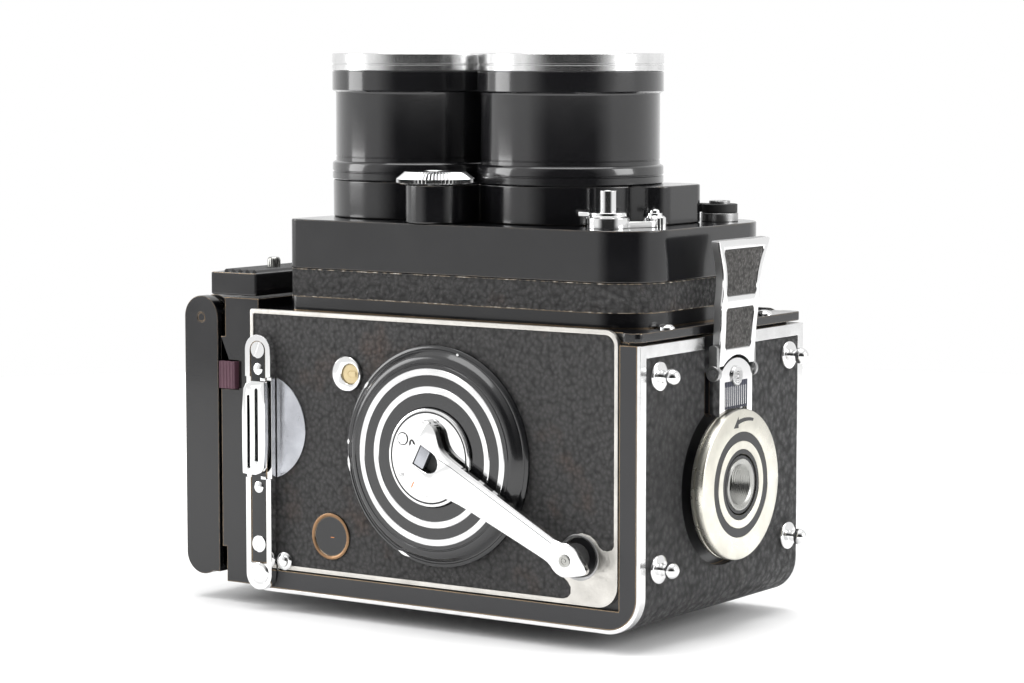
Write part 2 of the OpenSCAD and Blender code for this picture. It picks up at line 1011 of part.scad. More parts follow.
module hood_lid() {
    color("black")
    difference() {
        plate_y(-hood_half_width, hood_half_width)
            union() {
                translate([lid_x + 5.5, (hood_low_z + 1.2 + hood_high_z) / 2])
                    rounded(11, hood_high_z - hood_low_z - 1.2, 5.49);
                translate([lid_axis_x + 0.5, 12])
                    square([5, 50]);
                translate([lid_axis_x + 3, 7.2])
                    square([2.5, 12]);
            }
        plate_y(-lid_in_y, lid_in_y)
            union() {
                translate([lid_x + 5.5, (hood_low_z + 1.2 + hood_high_z) / 2])
                    rounded(8.6, hood_high_z - hood_low_z - 3.6, 4.2);
                translate([lid_axis_x, 9])
                    square([12, lid_axis_z - 8]);
            }
        for (side = [-1, 1])
            rod_y(lid_axis_x, lid_axis_z, side * 30.4 - 1.3, side * 30.4 + 1.3, 6);
        rod_y(lid_axis_x, lid_axis_z, -50, 50, 1.26);
    }
}

// Side leaf lying folded, cut back at its rear corner.
module side_leaf(x, side) {
    translate([x - 0.35, 0, 0])
        rotate([90, 0, 90])
            linear_extrude(0.7)
                polygon([[side * leaf_y, leaf_low_z], [side * (leaf_y - 4), leaf_low_z],
                    [side * (leaf_y - 22), leaf_low_z + 13.6],
                    [side * (leaf_y - leaf_reach), leaf_low_z + 13.6],
                    [side * (leaf_y - leaf_reach), leaf_high_z], [side * leaf_y, leaf_high_z]]);
    rod_z(x, side * leaf_y, 18.2, 57.8, 0.45);
}

module hood_left_leaf() {
    color("black")
    side_leaf(leaf_near_x, -1);
}

module hood_right_leaf() {
    color("black")
    side_leaf(leaf_far_x, 1);
}

module hood_rear_leaf() {
    color("black")
    union() {
        plate_x(leaf_rear_x - 0.35, leaf_rear_x + 0.35)
            polygon([[-24, 10], [24, 10], [6, 10 + rear_leaf_reach], [-6, 10 + rear_leaf_reach]]);
        rod_y(leaf_rear_x, 10, -24, 24, 0.5);
    }
}

module magnifier() {
    color("gray")
    difference() {
        union() {
            rod_x(0, 46, lid_x + 1.25, lid_x + 3.4, 11);
            box(lid_x + 1.25, lid_x + 3.4, -5.5, 5.5, 56, 59);
        }
        rod_x(0, 46, lid_x + 2.2, lid_x + 6, 9.5);
    }
}

module meter_block() {
    color("black")
    difference() {
        box(-86.6, -71.9, -hood_half_width, hood_half_width, hood_high_z + 0.55, 84.3);
        box(-85.2, -73.4, -32, 32, 83.2, 90);
    }
}

module meter_cell() {
    color("lightgray")
    union() {
        box(-85.1, -73.5, -31.9, 31.9, 83.22, 84.1);
        for (step = [0 : 4])
            box(-84.6 + step * 2.2, -83.4 + step * 2.2, -31.5, 31.5, 84, 85);
        rod_z(-79.5, -18, 84, 87.4, 1.7);
    }
}

// ---------- selection of the pieces ----------

body_shell();
front_plate();
front_skirt();
mirror_plate();
ground_glass();
crank_side_panel();
knob_side_panel();
side_trims();
crank_plate();
crank_plate_rings();
counter_window();
selector_ring();
selector_plug();
strap_plates();
strap_screws();
strap_guards();
strap_loop_near();
strap_loop_far();
take_up_spool();
supply_spool();
upper_roller();
lower_roller();
upper_spool_knob();
lower_spool_knob();
focus_knob();
front_housing();
shutter_cover();
taking_barrel();
viewing_barrel();
bayonet_rings();
lens_glass();
shutter_unit();
release_plate();
release_lock();
release_button();
sync_socket();
sync_lock();
aperture_wheel();
shutter_wheel();
crank_hub();
crank_arm();
crank_knob();
back_door();
door_leather();
door_rim();
feet();
tripod_bush();
tripod_disc();
latch_bar();
latch_lever();
pressure_plate();
hood_base();
hood_button();
hood_lid();
hood_left_leaf();
hood_right_leaf();
hood_rear_leaf();
magnifier();
meter_block();
meter_cell();
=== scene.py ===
"""Looks of a twin lens reflex camera lying on its back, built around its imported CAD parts."""

import math
import random

import bmesh
import bpy
from mathutils import Matrix, Vector

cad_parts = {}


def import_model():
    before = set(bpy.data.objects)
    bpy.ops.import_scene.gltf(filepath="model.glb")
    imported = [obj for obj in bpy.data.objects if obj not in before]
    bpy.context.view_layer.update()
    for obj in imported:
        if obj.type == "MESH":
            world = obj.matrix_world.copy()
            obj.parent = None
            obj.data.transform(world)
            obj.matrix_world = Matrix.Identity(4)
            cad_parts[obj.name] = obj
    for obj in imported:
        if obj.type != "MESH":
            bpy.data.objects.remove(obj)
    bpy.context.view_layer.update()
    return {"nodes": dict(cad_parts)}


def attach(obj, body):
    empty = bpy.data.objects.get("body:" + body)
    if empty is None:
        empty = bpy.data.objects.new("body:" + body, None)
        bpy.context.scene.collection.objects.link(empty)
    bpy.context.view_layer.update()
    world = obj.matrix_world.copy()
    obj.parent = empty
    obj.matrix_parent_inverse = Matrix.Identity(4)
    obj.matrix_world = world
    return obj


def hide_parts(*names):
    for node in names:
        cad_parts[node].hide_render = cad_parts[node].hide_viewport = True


MM = 0.001
CAMERA_PLACE = Vector((0.41247, -0.62612, 0.13964))
CAMERA_YAW = math.radians(34.476)
CAMERA_PITCH = math.radians(-5.435)
CAMERA_LENS = 106.6
SENSOR = 36.0
ROUND_STEPS = 96
FINE_STEPS = 160
RIB_SHARP = 60
UP = Vector((0, 0, 1))
NEAR_SIDE = Vector((0, -1, 0))
BOTTOM_END = Vector((1, 0, 0))
FLOOR_RADIUS = 0.6
DARK_SIDE = (0.55, -0.83, 0.0)
DARK_SIDE_TONES = [(0.0, (1, 1, 1)), (0.55, (1, 1, 1)), (0.86, (0.03, 0.03, 0.03))]
EDGE_REACH = 0.0005
EDGE_BREAKUP = 0.16
EDGE_START, EDGE_SPAN, EDGE_GAIN = 0.79, 0.05, 0.03
RUBBED_BRASS = (0.42, 0.3, 0.18, 1)
DUST = (0.09, 0.09, 0.09)

random.seed(7)


# ---------- stage ----------


def make_camera():
    data = bpy.data.cameras.new("view")
    data.lens = CAMERA_LENS
    data.sensor_width = SENSOR
    camera = bpy.data.objects.new("view", data)
    camera.location = CAMERA_PLACE
    camera.rotation_euler = (math.pi / 2 + CAMERA_PITCH, 0, CAMERA_YAW)
    bpy.context.scene.collection.objects.link(camera)
    bpy.context.scene.camera = camera


def area_light(name, place, aim, size, power):
    data = bpy.data.lights.new(name, "AREA")
    data.shape = "RECTANGLE"
    data.size, data.size_y = size
    data.energy = power
    lamp = bpy.data.objects.new(name, data)
    lamp.location = place
    lamp.rotation_euler = (Vector(aim) - Vector(place)).to_track_quat("-Z", "Y").to_euler()
    bpy.context.scene.collection.objects.link(lamp)


def make_world():
    """White all round, with one dark side, as where a photographer stands in a white tent."""
    world = bpy.data.worlds.new("studio")
    bpy.context.scene.world = world
    world.use_nodes = True
    tree = world.node_tree
    backdrop = tree.nodes["Background"]
    backdrop.inputs["Strength"].default_value = 1.0
    place = tree.nodes.new("ShaderNodeTexCoord")
    facing = tree.nodes.new("ShaderNodeVectorMath")
    facing.operation = "DOT_PRODUCT"
    facing.inputs[1].default_value = DARK_SIDE
    tree.links.new(place.outputs["Generated"], facing.inputs[0])
    tone = ramp(tree, facing.outputs["Value"], DARK_SIDE_TONES)
    tree.links.new(tone, backdrop.inputs["Color"])


def make_lights():
    make_world()
    aim = (0, 0, 0.06)
    area_light("left_box", (-0.9, -0.55, 0.4), aim, (0.5, 0.7), 5)
    area_light("right_box", (1.0, 0.25, 0.45), aim, (0.5, 0.6), 5)
    area_light("top_box", (0.0, 0.0, 1.1), aim, (0.9, 0.9), 9)
    bpy.context.scene.view_settings.view_transform = "Standard"


def make_floor():
    """A white disc under the camera; past its edge the white world goes on."""
    sheet = bmesh.new()
    bmesh.ops.create_circle(sheet, cap_ends=True, radius=FLOOR_RADIUS, segments=ROUND_STEPS)
    bmesh.ops.translate(sheet, verts=sheet.verts, vec=(0, 0, -0.0002))
    mesh = bpy.data.meshes.new("floor")
    sheet.to_mesh(mesh)
    sheet.free()
    floor = bpy.data.objects.new("floor", mesh)
    bpy.context.scene.collection.objects.link(floor)
    shader, _ = new_material("floor_white")
    shader.inputs["Base Color"].default_value = (0.96, 0.96, 0.96, 1)
    shader.inputs["Roughness"].default_value = 0.9
    shader.inputs["Specular IOR Level"].default_value = 0.1
    mesh.materials.append(bpy.data.materials["floor_white"])


# ---------- materials ----------


def new_material(name):
    """A material with a bare Principled shader; returns the shader and the node tree."""
    made = bpy.data.materials.new(name)
    made.use_nodes = True
    return made.node_tree.nodes["Principled BSDF"], made.node_tree


def noise_node(tree, scale, detail=4.0, stretch=(1, 1, 1), roughness=0.55):
    """Noise over the object's own coordinates, stretched along the given axes."""
    place = tree.nodes.new("ShaderNodeTexCoord")
    spread = tree.nodes.new("ShaderNodeMapping")
    spread.inputs["Scale"].default_value = stretch
    speckle = tree.nodes.new("ShaderNodeTexNoise")
    speckle.inputs["Scale"].default_value = scale
    speckle.inputs["Detail"].default_value = detail
    speckle.inputs["Roughness"].default_value = roughness
    tree.links.new(place.outputs["Object"], spread.inputs["Vector"])
    tree.links.new(spread.outputs["Vector"], speckle.inputs["Vector"])
    return speckle


def ramp(tree, source, stops):
    """Colour ramp through (place, colour) stops, fed by the given output."""
    node = tree.nodes.new("ShaderNodeValToRGB")
    elements = node.color_ramp.elements
    while len(elements) < len(stops):
        elements.new(0.5)
    for element, (place, colour) in zip(elements, stops):
        element.position = place
        element.color = colour if len(colour) == 4 else (*colour, 1)
    tree.links.new(source, node.inputs["Fac"])
    return node.outputs["Color"]


def grey_ramp(tree, source, low, high, start=0.3, end=0.7):
    return ramp(tree, source, [(start, (low, low, low)), (end, (high, high, high))])


def add_bump(tree, shader, heights, depth):
    """Surface relief of the given depth in metres, from a height output."""
    node = tree.nodes.new("ShaderNodeBump")
    node.inputs["Distance"].default_value = depth
    tree.links.new(heights, node.inputs["Height"])
    tree.links.new(node.outputs["Normal"], shader.inputs["Normal"])


def edge_mask(tree, wear):
    """White on sharp edges, broken up by noise; more of it as wear grows."""
    rounded = tree.nodes.new("ShaderNodeBevel")
    rounded.samples = 6
    rounded.inputs["Radius"].default_value = EDGE_REACH
    true = tree.nodes.new("ShaderNodeNewGeometry")
    same = tree.nodes.new("ShaderNodeVectorMath")
    same.operation = "DOT_PRODUCT"
    tree.links.new(rounded.outputs["Normal"], same.inputs[0])
    tree.links.new(true.outputs["Normal"], same.inputs[1])
    spot = noise_node(tree, 260, 6)
    both = tree.nodes.new("ShaderNodeMath")
    both.operation = "MULTIPLY_ADD"
    both.inputs[1].default_value = -EDGE_BREAKUP
    tree.links.new(spot.outputs["Fac"], both.inputs[0])
    tree.links.new(same.outputs["Value"], both.inputs[2])
    start = EDGE_START + EDGE_GAIN * wear
    return grey_ramp(tree, both.outputs[0], 1, 0, start, start + EDGE_SPAN)


def paint(name, colour, gloss, wear=0.0, coat=0.5):
    """Black lacquer with faint dust and orange peel; wear shows brass on sharp edges."""
    shader, tree = new_material(name)
    fine = noise_node(tree, 1600, 3)
    broad = noise_node(tree, 60, 5)
    dust = noise_node(tree, 5200, 2)
    tree.links.new(grey_ramp(tree, broad.outputs["Fac"], gloss, gloss + 0.12), shader.inputs["Roughness"])
    specks = ramp(tree, dust.outputs["Fac"], [(0.0, colour), (0.76, colour), (0.8, DUST)])
    shader.inputs["Coat Weight"].default_value = coat
    shader.inputs["Coat Roughness"].default_value = gloss * 0.5
    tree.links.new(specks, shader.inputs["Base Color"])
    if wear > 0:
        mask = edge_mask(tree, wear)
        blend = tree.nodes.new("ShaderNodeMix")
        blend.data_type = "RGBA"
        tree.links.new(mask, blend.inputs["Factor"])
        tree.links.new(specks, blend.inputs["A"])
        blend.inputs["B"].default_value = RUBBED_BRASS
        tree.links.new(blend.outputs["Result"], shader.inputs["Base Color"])
        tree.links.new(mask, shader.inputs["Metallic"])
    add_bump(tree, shader, fine.outputs["Fac"], 0.000008)
    return bpy.data.materials[name]


def metal(name, colour, low, high, stretch=(1, 1, 1), grain=2600, dent=0.000004):
    """Plated or satin metal with fine scratches and dull patches."""
    shader, tree = new_material(name)
    shader.inputs["Metallic"].default_value = 1.0
    scratch = noise_node(tree, grain, 4, stretch)
    patch = noise_node(tree, 130, 6)
    dull = tuple(c * 0.82 for c in colour)
    tree.links.new(
        ramp(tree, patch.outputs["Fac"], [(0.35, dull), (0.62, colour)]), shader.inputs["Base Color"]
    )
    tree.links.new(grey_ramp(tree, patch.outputs["Fac"], high, low, 0.3, 0.68), shader.inputs["Roughness"])
    add_bump(tree, shader, scratch.outputs["Fac"], dent)
    return bpy.data.materials[name]


def leather(name, tint, brown, cell=850, depth=0.00022):
    """Pebbled leathercloth: rounded cells, creases between them darkened as painted shade, brown where it
    has rubbed.
    """
    shader, tree = new_material(name)
    place = tree.nodes.new("ShaderNodeTexCoord")
    warp = noise_node(tree, 380, 4)
    shift = tree.nodes.new("ShaderNodeVectorMath")
    shift.operation = "MULTIPLY_ADD"
    shift.inputs[1].default_value = (0.0016, 0.0016, 0.0016)
    tree.links.new(warp.outputs["Color"], shift.inputs[0])
    tree.links.new(place.outputs["Object"], shift.inputs[2])
    cells = tree.nodes.new("ShaderNodeTexVoronoi")
    cells.feature = "SMOOTH_F1"
    cells.inputs["Scale"].default_value = cell
    cells.inputs["Smoothness"].default_value = 0.6
    tree.links.new(shift.outputs["Vector"], cells.inputs["Vector"])
    pores = noise_node(tree, 5000, 3)
    height = tree.nodes.new("ShaderNodeMath")
    height.operation = "MULTIPLY_ADD"
    height.inputs[1].default_value = -1.0
    tree.links.new(cells.outputs["Distance"], height.inputs[0])
    tree.links.new(pores.outputs["Fac"], height.inputs[2])
    patch = noise_node(tree, 55, 6)
    colour = ramp(tree, patch.outputs["Fac"], [(0.3, tint), (0.58, tint), (0.75, brown)])
    # Painted shade: the colour runs from full tone on the cell tops to darker in the creases between cells.
    painted_crease_shade = ramp(tree, cells.outputs["Distance"], [(0.15, (1, 1, 1)), (0.8, (0.3, 0.3, 0.3))])
    both = tree.nodes.new("ShaderNodeMix")
    both.data_type = "RGBA"
    both.blend_type = "MULTIPLY"
    both.inputs["Factor"].default_value = 1.0
    tree.links.new(colour, both.inputs["A"])
    tree.links.new(painted_crease_shade, both.inputs["B"])
    tree.links.new(both.outputs["Result"], shader.inputs["Base Color"])
    gloss = grey_ramp(tree, cells.outputs["Distance"], 0.3, 0.7, 0.1, 0.8)
    tree.links.new(gloss, shader.inputs["Roughness"])
    shader.inputs["Specular IOR Level"].default_value = 0.5
    add_bump(tree, shader, height.outputs[0], depth)
    return bpy.data.materials[name]


def plastic(name, colour, rough, bump=0.00001):
    """Moulded plastic, slightly uneven in tone, with a fine grain."""
    shader, tree = new_material(name)
    grain = noise_node(tree, 2400, 4)
    broad = noise_node(tree, 90, 4)
    lighter = tuple(min(1, c * 1.35) for c in colour)
    tree.links.new(
        ramp(tree, broad.outputs["Fac"], [(0.35, colour), (0.65, lighter)]), shader.inputs["Base Color"]
    )
    tree.links.new(grey_ramp(tree, broad.outputs["Fac"], rough, rough + 0.1), shader.inputs["Roughness"])
    add_bump(tree, shader, grain.outputs["Fac"], bump)
    return bpy.data.materials[name]


def glass(name, colour):
    """Coated lens glass with faint smears."""
    shader, tree = new_material(name)
    smear = noise_node(tree, 110, 4)
    shader.inputs["Base Color"].default_value = (*colour, 1)
    shader.inputs["Transmission Weight"].default_value = 1.0
    shader.inputs["IOR"].default_value = 1.52
    tree.links.new(grey_ramp(tree, smear.outputs["Fac"], 0.01, 0.05), shader.inputs["Roughness"])
    shader.inputs["Coat Weight"].default_value = 0.4
    shader.inputs["Coat Tint"].default_value = (0.6, 0.5, 0.9, 1)
    return bpy.data.materials[name]


def worn_edge(name):
    """Lacquer edge rubbed through to metal in broken stretches."""
    shader, tree = new_material(name)
    spots = noise_node(tree, 700, 6)
    shader.inputs["Roughness"].default_value = 0.35
    tones = [(0.45, (0.02, 0.02, 0.02)), (0.55, (0.3, 0.24, 0.17)), (0.66, (0.7, 0.66, 0.6))]
    colour = ramp(tree, spots.outputs["Fac"], tones)
    tree.links.new(colour, shader.inputs["Base Color"])
    return bpy.data.materials[name]


def make_materials():
    """All materials of the camera by the names the pieces ask for."""
    return {
        "enamel": paint("enamel", (0.006, 0.006, 0.007), 0.1, wear=1.0, coat=0.35),
        "barrel": paint("barrel_lacquer", (0.008, 0.008, 0.009), 0.11, coat=0.6),
        "satin_black": paint("satin_black", (0.016, 0.016, 0.018), 0.3, wear=0.8, coat=0.1),
        "matt_black": plastic("matt_black", (0.012, 0.012, 0.012), 0.6),
        "gloss_black": paint("gloss_black", (0.005, 0.005, 0.006), 0.12, wear=0.6, coat=0.2),
        "chrome": metal("chrome", (0.6, 0.6, 0.61), 0.12, 0.24),
        "bright": metal("bright_ring", (0.8, 0.8, 0.8), 0.16, 0.26),
        "satin": metal("satin_aluminium", (0.4, 0.4, 0.4), 0.3, 0.42, grain=4200, dent=0.00002),
        "disc": metal("disc_plate", (0.74, 0.72, 0.64), 0.24, 0.34, grain=3600),
        "trim": metal("trim_line", (0.66, 0.64, 0.6), 0.3, 0.5, grain=900, dent=0.0001),
        "brass": metal("worn_brass", (0.3, 0.18, 0.1), 0.3, 0.55, grain=900, dent=0.0001),
        "side_leather": leather("side_leather", (0.075, 0.073, 0.073), (0.12, 0.075, 0.055), 900, 0.0009),
        "door_leather": leather("door_leather", (0.05, 0.05, 0.052), (0.06, 0.055, 0.052), 640, 0.0014),
        "chipped": paint("chipped_black", (0.01, 0.01, 0.011), 0.12, coat=0.5),
        "scratch": plastic("dark_line", (0.03, 0.03, 0.03), 0.6),
        "guard": metal("guard_plate", (0.42, 0.43, 0.46), 0.14, 0.3),
        "worn_edge": worn_edge("worn_edge"),
        "steel": metal("turned_steel", (0.42, 0.42, 0.4), 0.2, 0.36),
        "black_fill": plastic("black_fill", (0.012, 0.012, 0.013), 0.4),
        "blue_black": plastic("blue_black_rib", (0.014, 0.016, 0.03), 0.25),
        "black_plastic": plastic("black_plastic", (0.012, 0.012, 0.012), 0.32),
        "orange": plastic("orange_line", (0.6, 0.2, 0.05), 0.4),
        "smoke": plastic("smoke_cover", (0.02, 0.02, 0.021), 0.14),
        "inlay_leather": leather("inlay_leather", (0.06, 0.055, 0.05), (0.12, 0.07, 0.045), 1200, 0.0005),
        "plum": plastic("plum_plastic", (0.11, 0.05, 0.07), 0.35),
        "ivory": plastic("ivory_plastic", (0.62, 0.5, 0.28), 0.3),
        "glass": glass("coated_glass", (0.75, 0.8, 0.9)),
        "frosted": plastic("frosted_cell", (0.35, 0.33, 0.28), 0.25, 0.00006),
        "mirror": metal("mirror_face", (0.95, 0.95, 0.95), 0.01, 0.03),
    }


# ---------- mesh helpers ----------


def mesh_object(name, verts, faces, material, sharp_deg=35):
    """Mesh in model millimetres, made at the origin, smooth except over sharp edges."""
    mesh = bpy.data.meshes.new(name)
    mesh.from_pydata([Vector(v) * MM for v in verts], [], faces)
    tidy = bmesh.new()
    tidy.from_mesh(mesh)
    bmesh.ops.remove_doubles(tidy, verts=tidy.verts, dist=1e-7)
    bmesh.ops.recalc_face_normals(tidy, faces=tidy.faces)
    tidy.to_mesh(mesh)
    tidy.free()
    made = bpy.data.objects.new(name, mesh)
    bpy.context.scene.collection.objects.link(made)
    mesh.materials.append(material)
    smooth_shade(mesh, sharp_deg)
    return made


def smooth_shade(mesh, sharp_deg):
    """Smooth shading that stays sharp over edges above the given angle."""
    mesh.shade_smooth()
    mesh.set_sharp_from_angle(angle=math.radians(sharp_deg))


def frame_for(centre, axis):
    """Matrix with its Z along the axis and its origin at the centre."""
    turn = Vector(axis).to_track_quat("Z", "Y").to_matrix().to_4x4()
    return Matrix.Translation(Vector(centre)) @ turn


def lathe(name, profile, centre, axis, material, steps=ROUND_STEPS, ripple=None, sharp_deg=35):
    """Ring of (radius, height) points turned about the axis; closed where the radius is zero.

    ripple(angle, index) scales the radius, for knurls and scallops."""
    place = frame_for(centre, axis)
    verts, faces, rings = [], [], []
    for index, (radius, height) in enumerate(profile):
        if radius <= 1e-6:
            rings.append([len(verts)])
            verts.append(place @ Vector((0, 0, height)))
            continue
        rings.append(list(range(len(verts), len(verts) + steps)))
        for step in range(steps):
            angle = math.tau * step / steps
            grown = radius * (ripple(angle, index) if ripple else 1)
            verts.append(place @ Vector((grown * math.cos(angle), grown * math.sin(angle), height)))
    open_ends = len(rings[0]) > 1 or len(rings[-1]) > 1
    pairs = list(zip(rings, rings[1:]))
    if open_ends:
        pairs.append((rings[-1], rings[0]))
    for lower, upper in pairs:
        for step in range(steps):
            after = (step + 1) % steps
            if len(lower) == 1 and len(upper) == 1:
                break
            if len(lower) == 1:
                faces.append((lower[0], upper[after], upper[step]))
            elif len(upper) == 1:
                faces.append((lower[step], lower[after], upper[0]))
            else:
                faces.append((lower[step], lower[after], upper[after], upper[step]))
    return mesh_object(name, verts, faces, material, sharp_deg)


def plane_frame(centre, right, out):
    """Matrix whose X runs right, Z runs out of the face, with its origin at the centre."""
    right, out = Vector(right).normalized(), Vector(out).normalized()
    up = out.cross(right)
    turn = Matrix((right, up, out)).transposed().to_4x4()
    return Matrix.Translation(Vector(centre)) @ turn


def prism(name, loops, low, high, chamfer, place, material, sharp_deg=35):
    """Flat piece from an outer loop and hole loops, with rounded front edges."""
    sheet = bmesh.new()
    for loop in loops:
        verts = [sheet.verts.new((x, y, low)) for x, y in loop]
        for index, vert in enumerate(verts):
            sheet.edges.new((verts[index - 1], vert))
    bmesh.ops.triangle_fill(sheet, use_beauty=True, edges=sheet.edges[:])
    bmesh.ops.dissolve_limit(sheet, angle_limit=0.01, verts=[], edges=sheet.edges[:])
    floor = sheet.faces[:]
    raised = bmesh.ops.extrude_face_region(sheet, geom=floor, use_keep_orig=True)
    top_verts = {v for v in raised["geom"] if isinstance(v, bmesh.types.BMVert)}
    for vert in top_verts:
        vert.co.z = high
    bmesh.ops.recalc_face_normals(sheet, faces=sheet.faces[:])
    if chamfer > 0:
        rim = [
            e
            for e in sheet.edges
            if e.verts[0] in top_verts
            and e.verts[1] in top_verts
            and len(e.link_faces) == 2
            and abs(e.link_faces[0].normal.dot(e.link_faces[1].normal)) < 0.5
        ]
        bmesh.ops.bevel(sheet, geom=rim, offset=chamfer, segments=3, profile=0.6, affect="EDGES")
    sheet.verts.index_update()
    verts = [place @ v.co for v in sheet.verts]
    faces = [[v.index for v in f.verts] for f in sheet.faces]
    sheet.free()
    return mesh_object(name, verts, faces, material, sharp_deg)


def circle_loop(x, y, radius, steps=40):
    """Circle as (x, y) points, anticlockwise."""
    return [
        (x + radius * math.cos(math.tau * n / steps), y + radius * math.sin(math.tau * n / steps))
        for n in range(steps)
    ]


def rounded_loop(x0, x1, y0, y1, corner):
    """Rectangle with equal round corners, anticlockwise from its high-x high-y one."""
    path = []
    left, right, low, high = x0 + corner, x1 - corner, y0 + corner, y1 - corner
    for turn, (cx, cy) in enumerate([(right, high), (left, high), (left, low), (right, low)]):
        for step in range(9):
            angle = math.pi / 2 * (turn + step / 8)
            path.append((cx + corner * math.cos(angle), cy + corner * math.sin(angle)))
    return path


def smooth_loop(points, rounds=2):
    """The closed path with its corners cut off, as many rounds over, for soft outlines."""
    for _ in range(rounds):
        cut = []
        for index, (x, y) in enumerate(points):
            nx, ny = points[(index + 1) % len(points)]
            cut.append((x * 0.75 + nx * 0.25, y * 0.75 + ny * 0.25))
            cut.append((x * 0.25 + nx * 0.75, y * 0.25 + ny * 0.75))
        points = cut
    return points


def put(piece, body, slot, *replaced):
    """Let the piece ride on a body, in place of the CAD nodes it replaces; the slot argument is not used.
    """
    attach(piece, body)
    if replaced:
        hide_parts(*replaced)


def bar(name, section, low, high, lift, material):
    """Closed bar with the given section from low to high; lift turns (a, b, along) into a point."""
    verts, faces = [], []
    for along in (low, high):
        verts += [lift(a, b, along) for a, b in section]
    count = len(section)
    for n in range(count):
        after = (n + 1) % count
        faces.append((n, after, count + after, count + n))
    faces += [tuple(range(count)), tuple(range(count, 2 * count))]
    return mesh_object(name, verts, faces, material, RIB_SHARP)


def joined(name, pieces):
    """One object made of several pieces."""
    bpy.ops.object.select_all(action="DESELECT")
    for piece in pieces:
        piece.select_set(True)
    bpy.context.view_layer.objects.active = pieces[0]
    bpy.ops.object.join()
    made = pieces[0]
    made.name = name
    made.data.name = name
    return made


# ---------- the CAD nodes' own finish ----------

FINISH = {
    "gloss_black": ["hood_base", "hood_lid", "meter_block", "front_plate", "selector_plug"],
    "enamel": ["front_housing", "shutter_cover", "hood_left_leaf", "hood_right_leaf", "hood_rear_leaf"],
    "satin_black": ["body_shell", "back_door", "pressure_plate", "shutter_unit"],
    "matt_black": [
        "crank_knob", "take_up_spool", "supply_spool", "sync_lock", "counter_window", "magnifier"
    ],
    "side_leather": ["crank_side_panel", "knob_side_panel", "front_skirt"],
    "door_leather": ["door_leather"],
    "chrome": [
        "crank_arm", "strap_plates", "strap_loop_near", "strap_loop_far",
        "strap_screws", "release_plate", "release_lock", "release_button", "upper_spool_knob",
        "lower_spool_knob", "focus_knob", "selector_ring", "tripod_bush", "latch_bar",
        "upper_roller", "lower_roller",
    ],
    "satin": ["latch_lever", "sync_socket"],
    "guard": ["strap_guards"],
    "trim": ["side_trims"],
    "bright": ["door_rim", "bayonet_rings"],
    "plum": ["hood_button"],
    "frosted": ["meter_cell", "ground_glass"],
    "mirror": ["mirror_plate"],
    "glass": ["lens_glass"],
}
BEVEL_MM = {
    "hood_lid": 0.9,
    "hood_base": 0.5,
    "meter_block": 0.5,
    "front_housing": 0.5,
    "shutter_cover": 1.3,
    "body_shell": 0.3,
    "front_plate": 0.3,
    "crank_arm": 0.35,
    "strap_plates": 0.3,
    "strap_guards": 0.2,
    "strap_loop_near": 0.3,
    "strap_loop_far": 0.3,
    "latch_lever": 0.3,
    "latch_bar": 0.3,
    "side_trims": 0.12,
    "door_rim": 0.15,
}
PLAIN_BEVEL_MM = 0.15


def finish_cad(nodes, look):
    """Material, rounded edges and smooth curved faces for every CAD node."""
    for finish, names in FINISH.items():
        for name in names:
            node = nodes[name]
            node.data.materials.clear()
            node.data.materials.append(look[finish])
    for name, node in nodes.items():
        weld = node.modifiers.new("weld", "WELD")
        weld.merge_threshold = 0.000001
        flat = node.modifiers.new("flat_faces", "DECIMATE")
        flat.decimate_type = "DISSOLVE"
        flat.angle_limit = math.radians(0.6)
        edge = node.modifiers.new("edge", "BEVEL")
        edge.width = BEVEL_MM.get(name, PLAIN_BEVEL_MM) * MM
        edge.segments = 3
        edge.limit_method = "ANGLE"
        edge.angle_limit = math.radians(40)
        edge.use_clamp_overlap = True
        edge.harden_normals = False
        node.data.shade_smooth()
        node.data.set_sharp_from_angle(angle=math.radians(30))
        hold = node.modifiers.new("even_normals", "WEIGHTED_NORMAL")
        hold.keep_sharp = True


# ---------- lens barrels ----------

TAKING = (0.0, 23.0)
VIEWING = (-45.8, 22.4)
BARREL_LOW, BARREL_HIGH = 107.75, 135.2
RIM_Z = 139.6
INNER_STEP = 4.5
SEAT_Z = 84.0
SCREW_Z = 133.2


def barrel(name, x, radius, black):
    """Lacquered barrel: a foot band, a waisted neck, a head band and a bore with light traps."""
    neck = radius - 0.9
    outer = [
        (radius - 7.5, SEAT_Z), (radius - 7.5, BARREL_LOW), (radius - 0.35, BARREL_LOW),
        (radius, BARREL_LOW + 0.3), (radius, 109.6), (radius - 0.25, 109.75),
        (radius - 0.25, 109.95), (radius, 110.1), (radius, 111.8), (radius - 0.2, 112.15),
        (neck, 112.5), (neck, 113.4), (neck - 0.15, 113.5), (neck - 0.15, 113.65), (neck, 113.75),
        (neck, 129.4), (neck + 0.1, 129.9), (radius - 0.2, 130.2), (radius, 130.4),
        (radius, BARREL_HIGH - 0.25), (radius - 0.25, BARREL_HIGH),
        (radius - INNER_STEP, BARREL_HIGH),
    ]
    inner = []
    height = BARREL_HIGH - 1.0
    while height > 119:
        inner += [(radius - INNER_STEP, height), (radius - INNER_STEP + 0.3, height - 0.5)]
        height -= 1.0
    inner += [(radius - INNER_STEP, 110.5), (radius - 9, 110.5), (radius - 9, SEAT_Z)]
    made = lathe(name, outer + inner, (x, 0, 0), UP, black, steps=FINE_STEPS)
    put(made, "front", "black_paint", name)


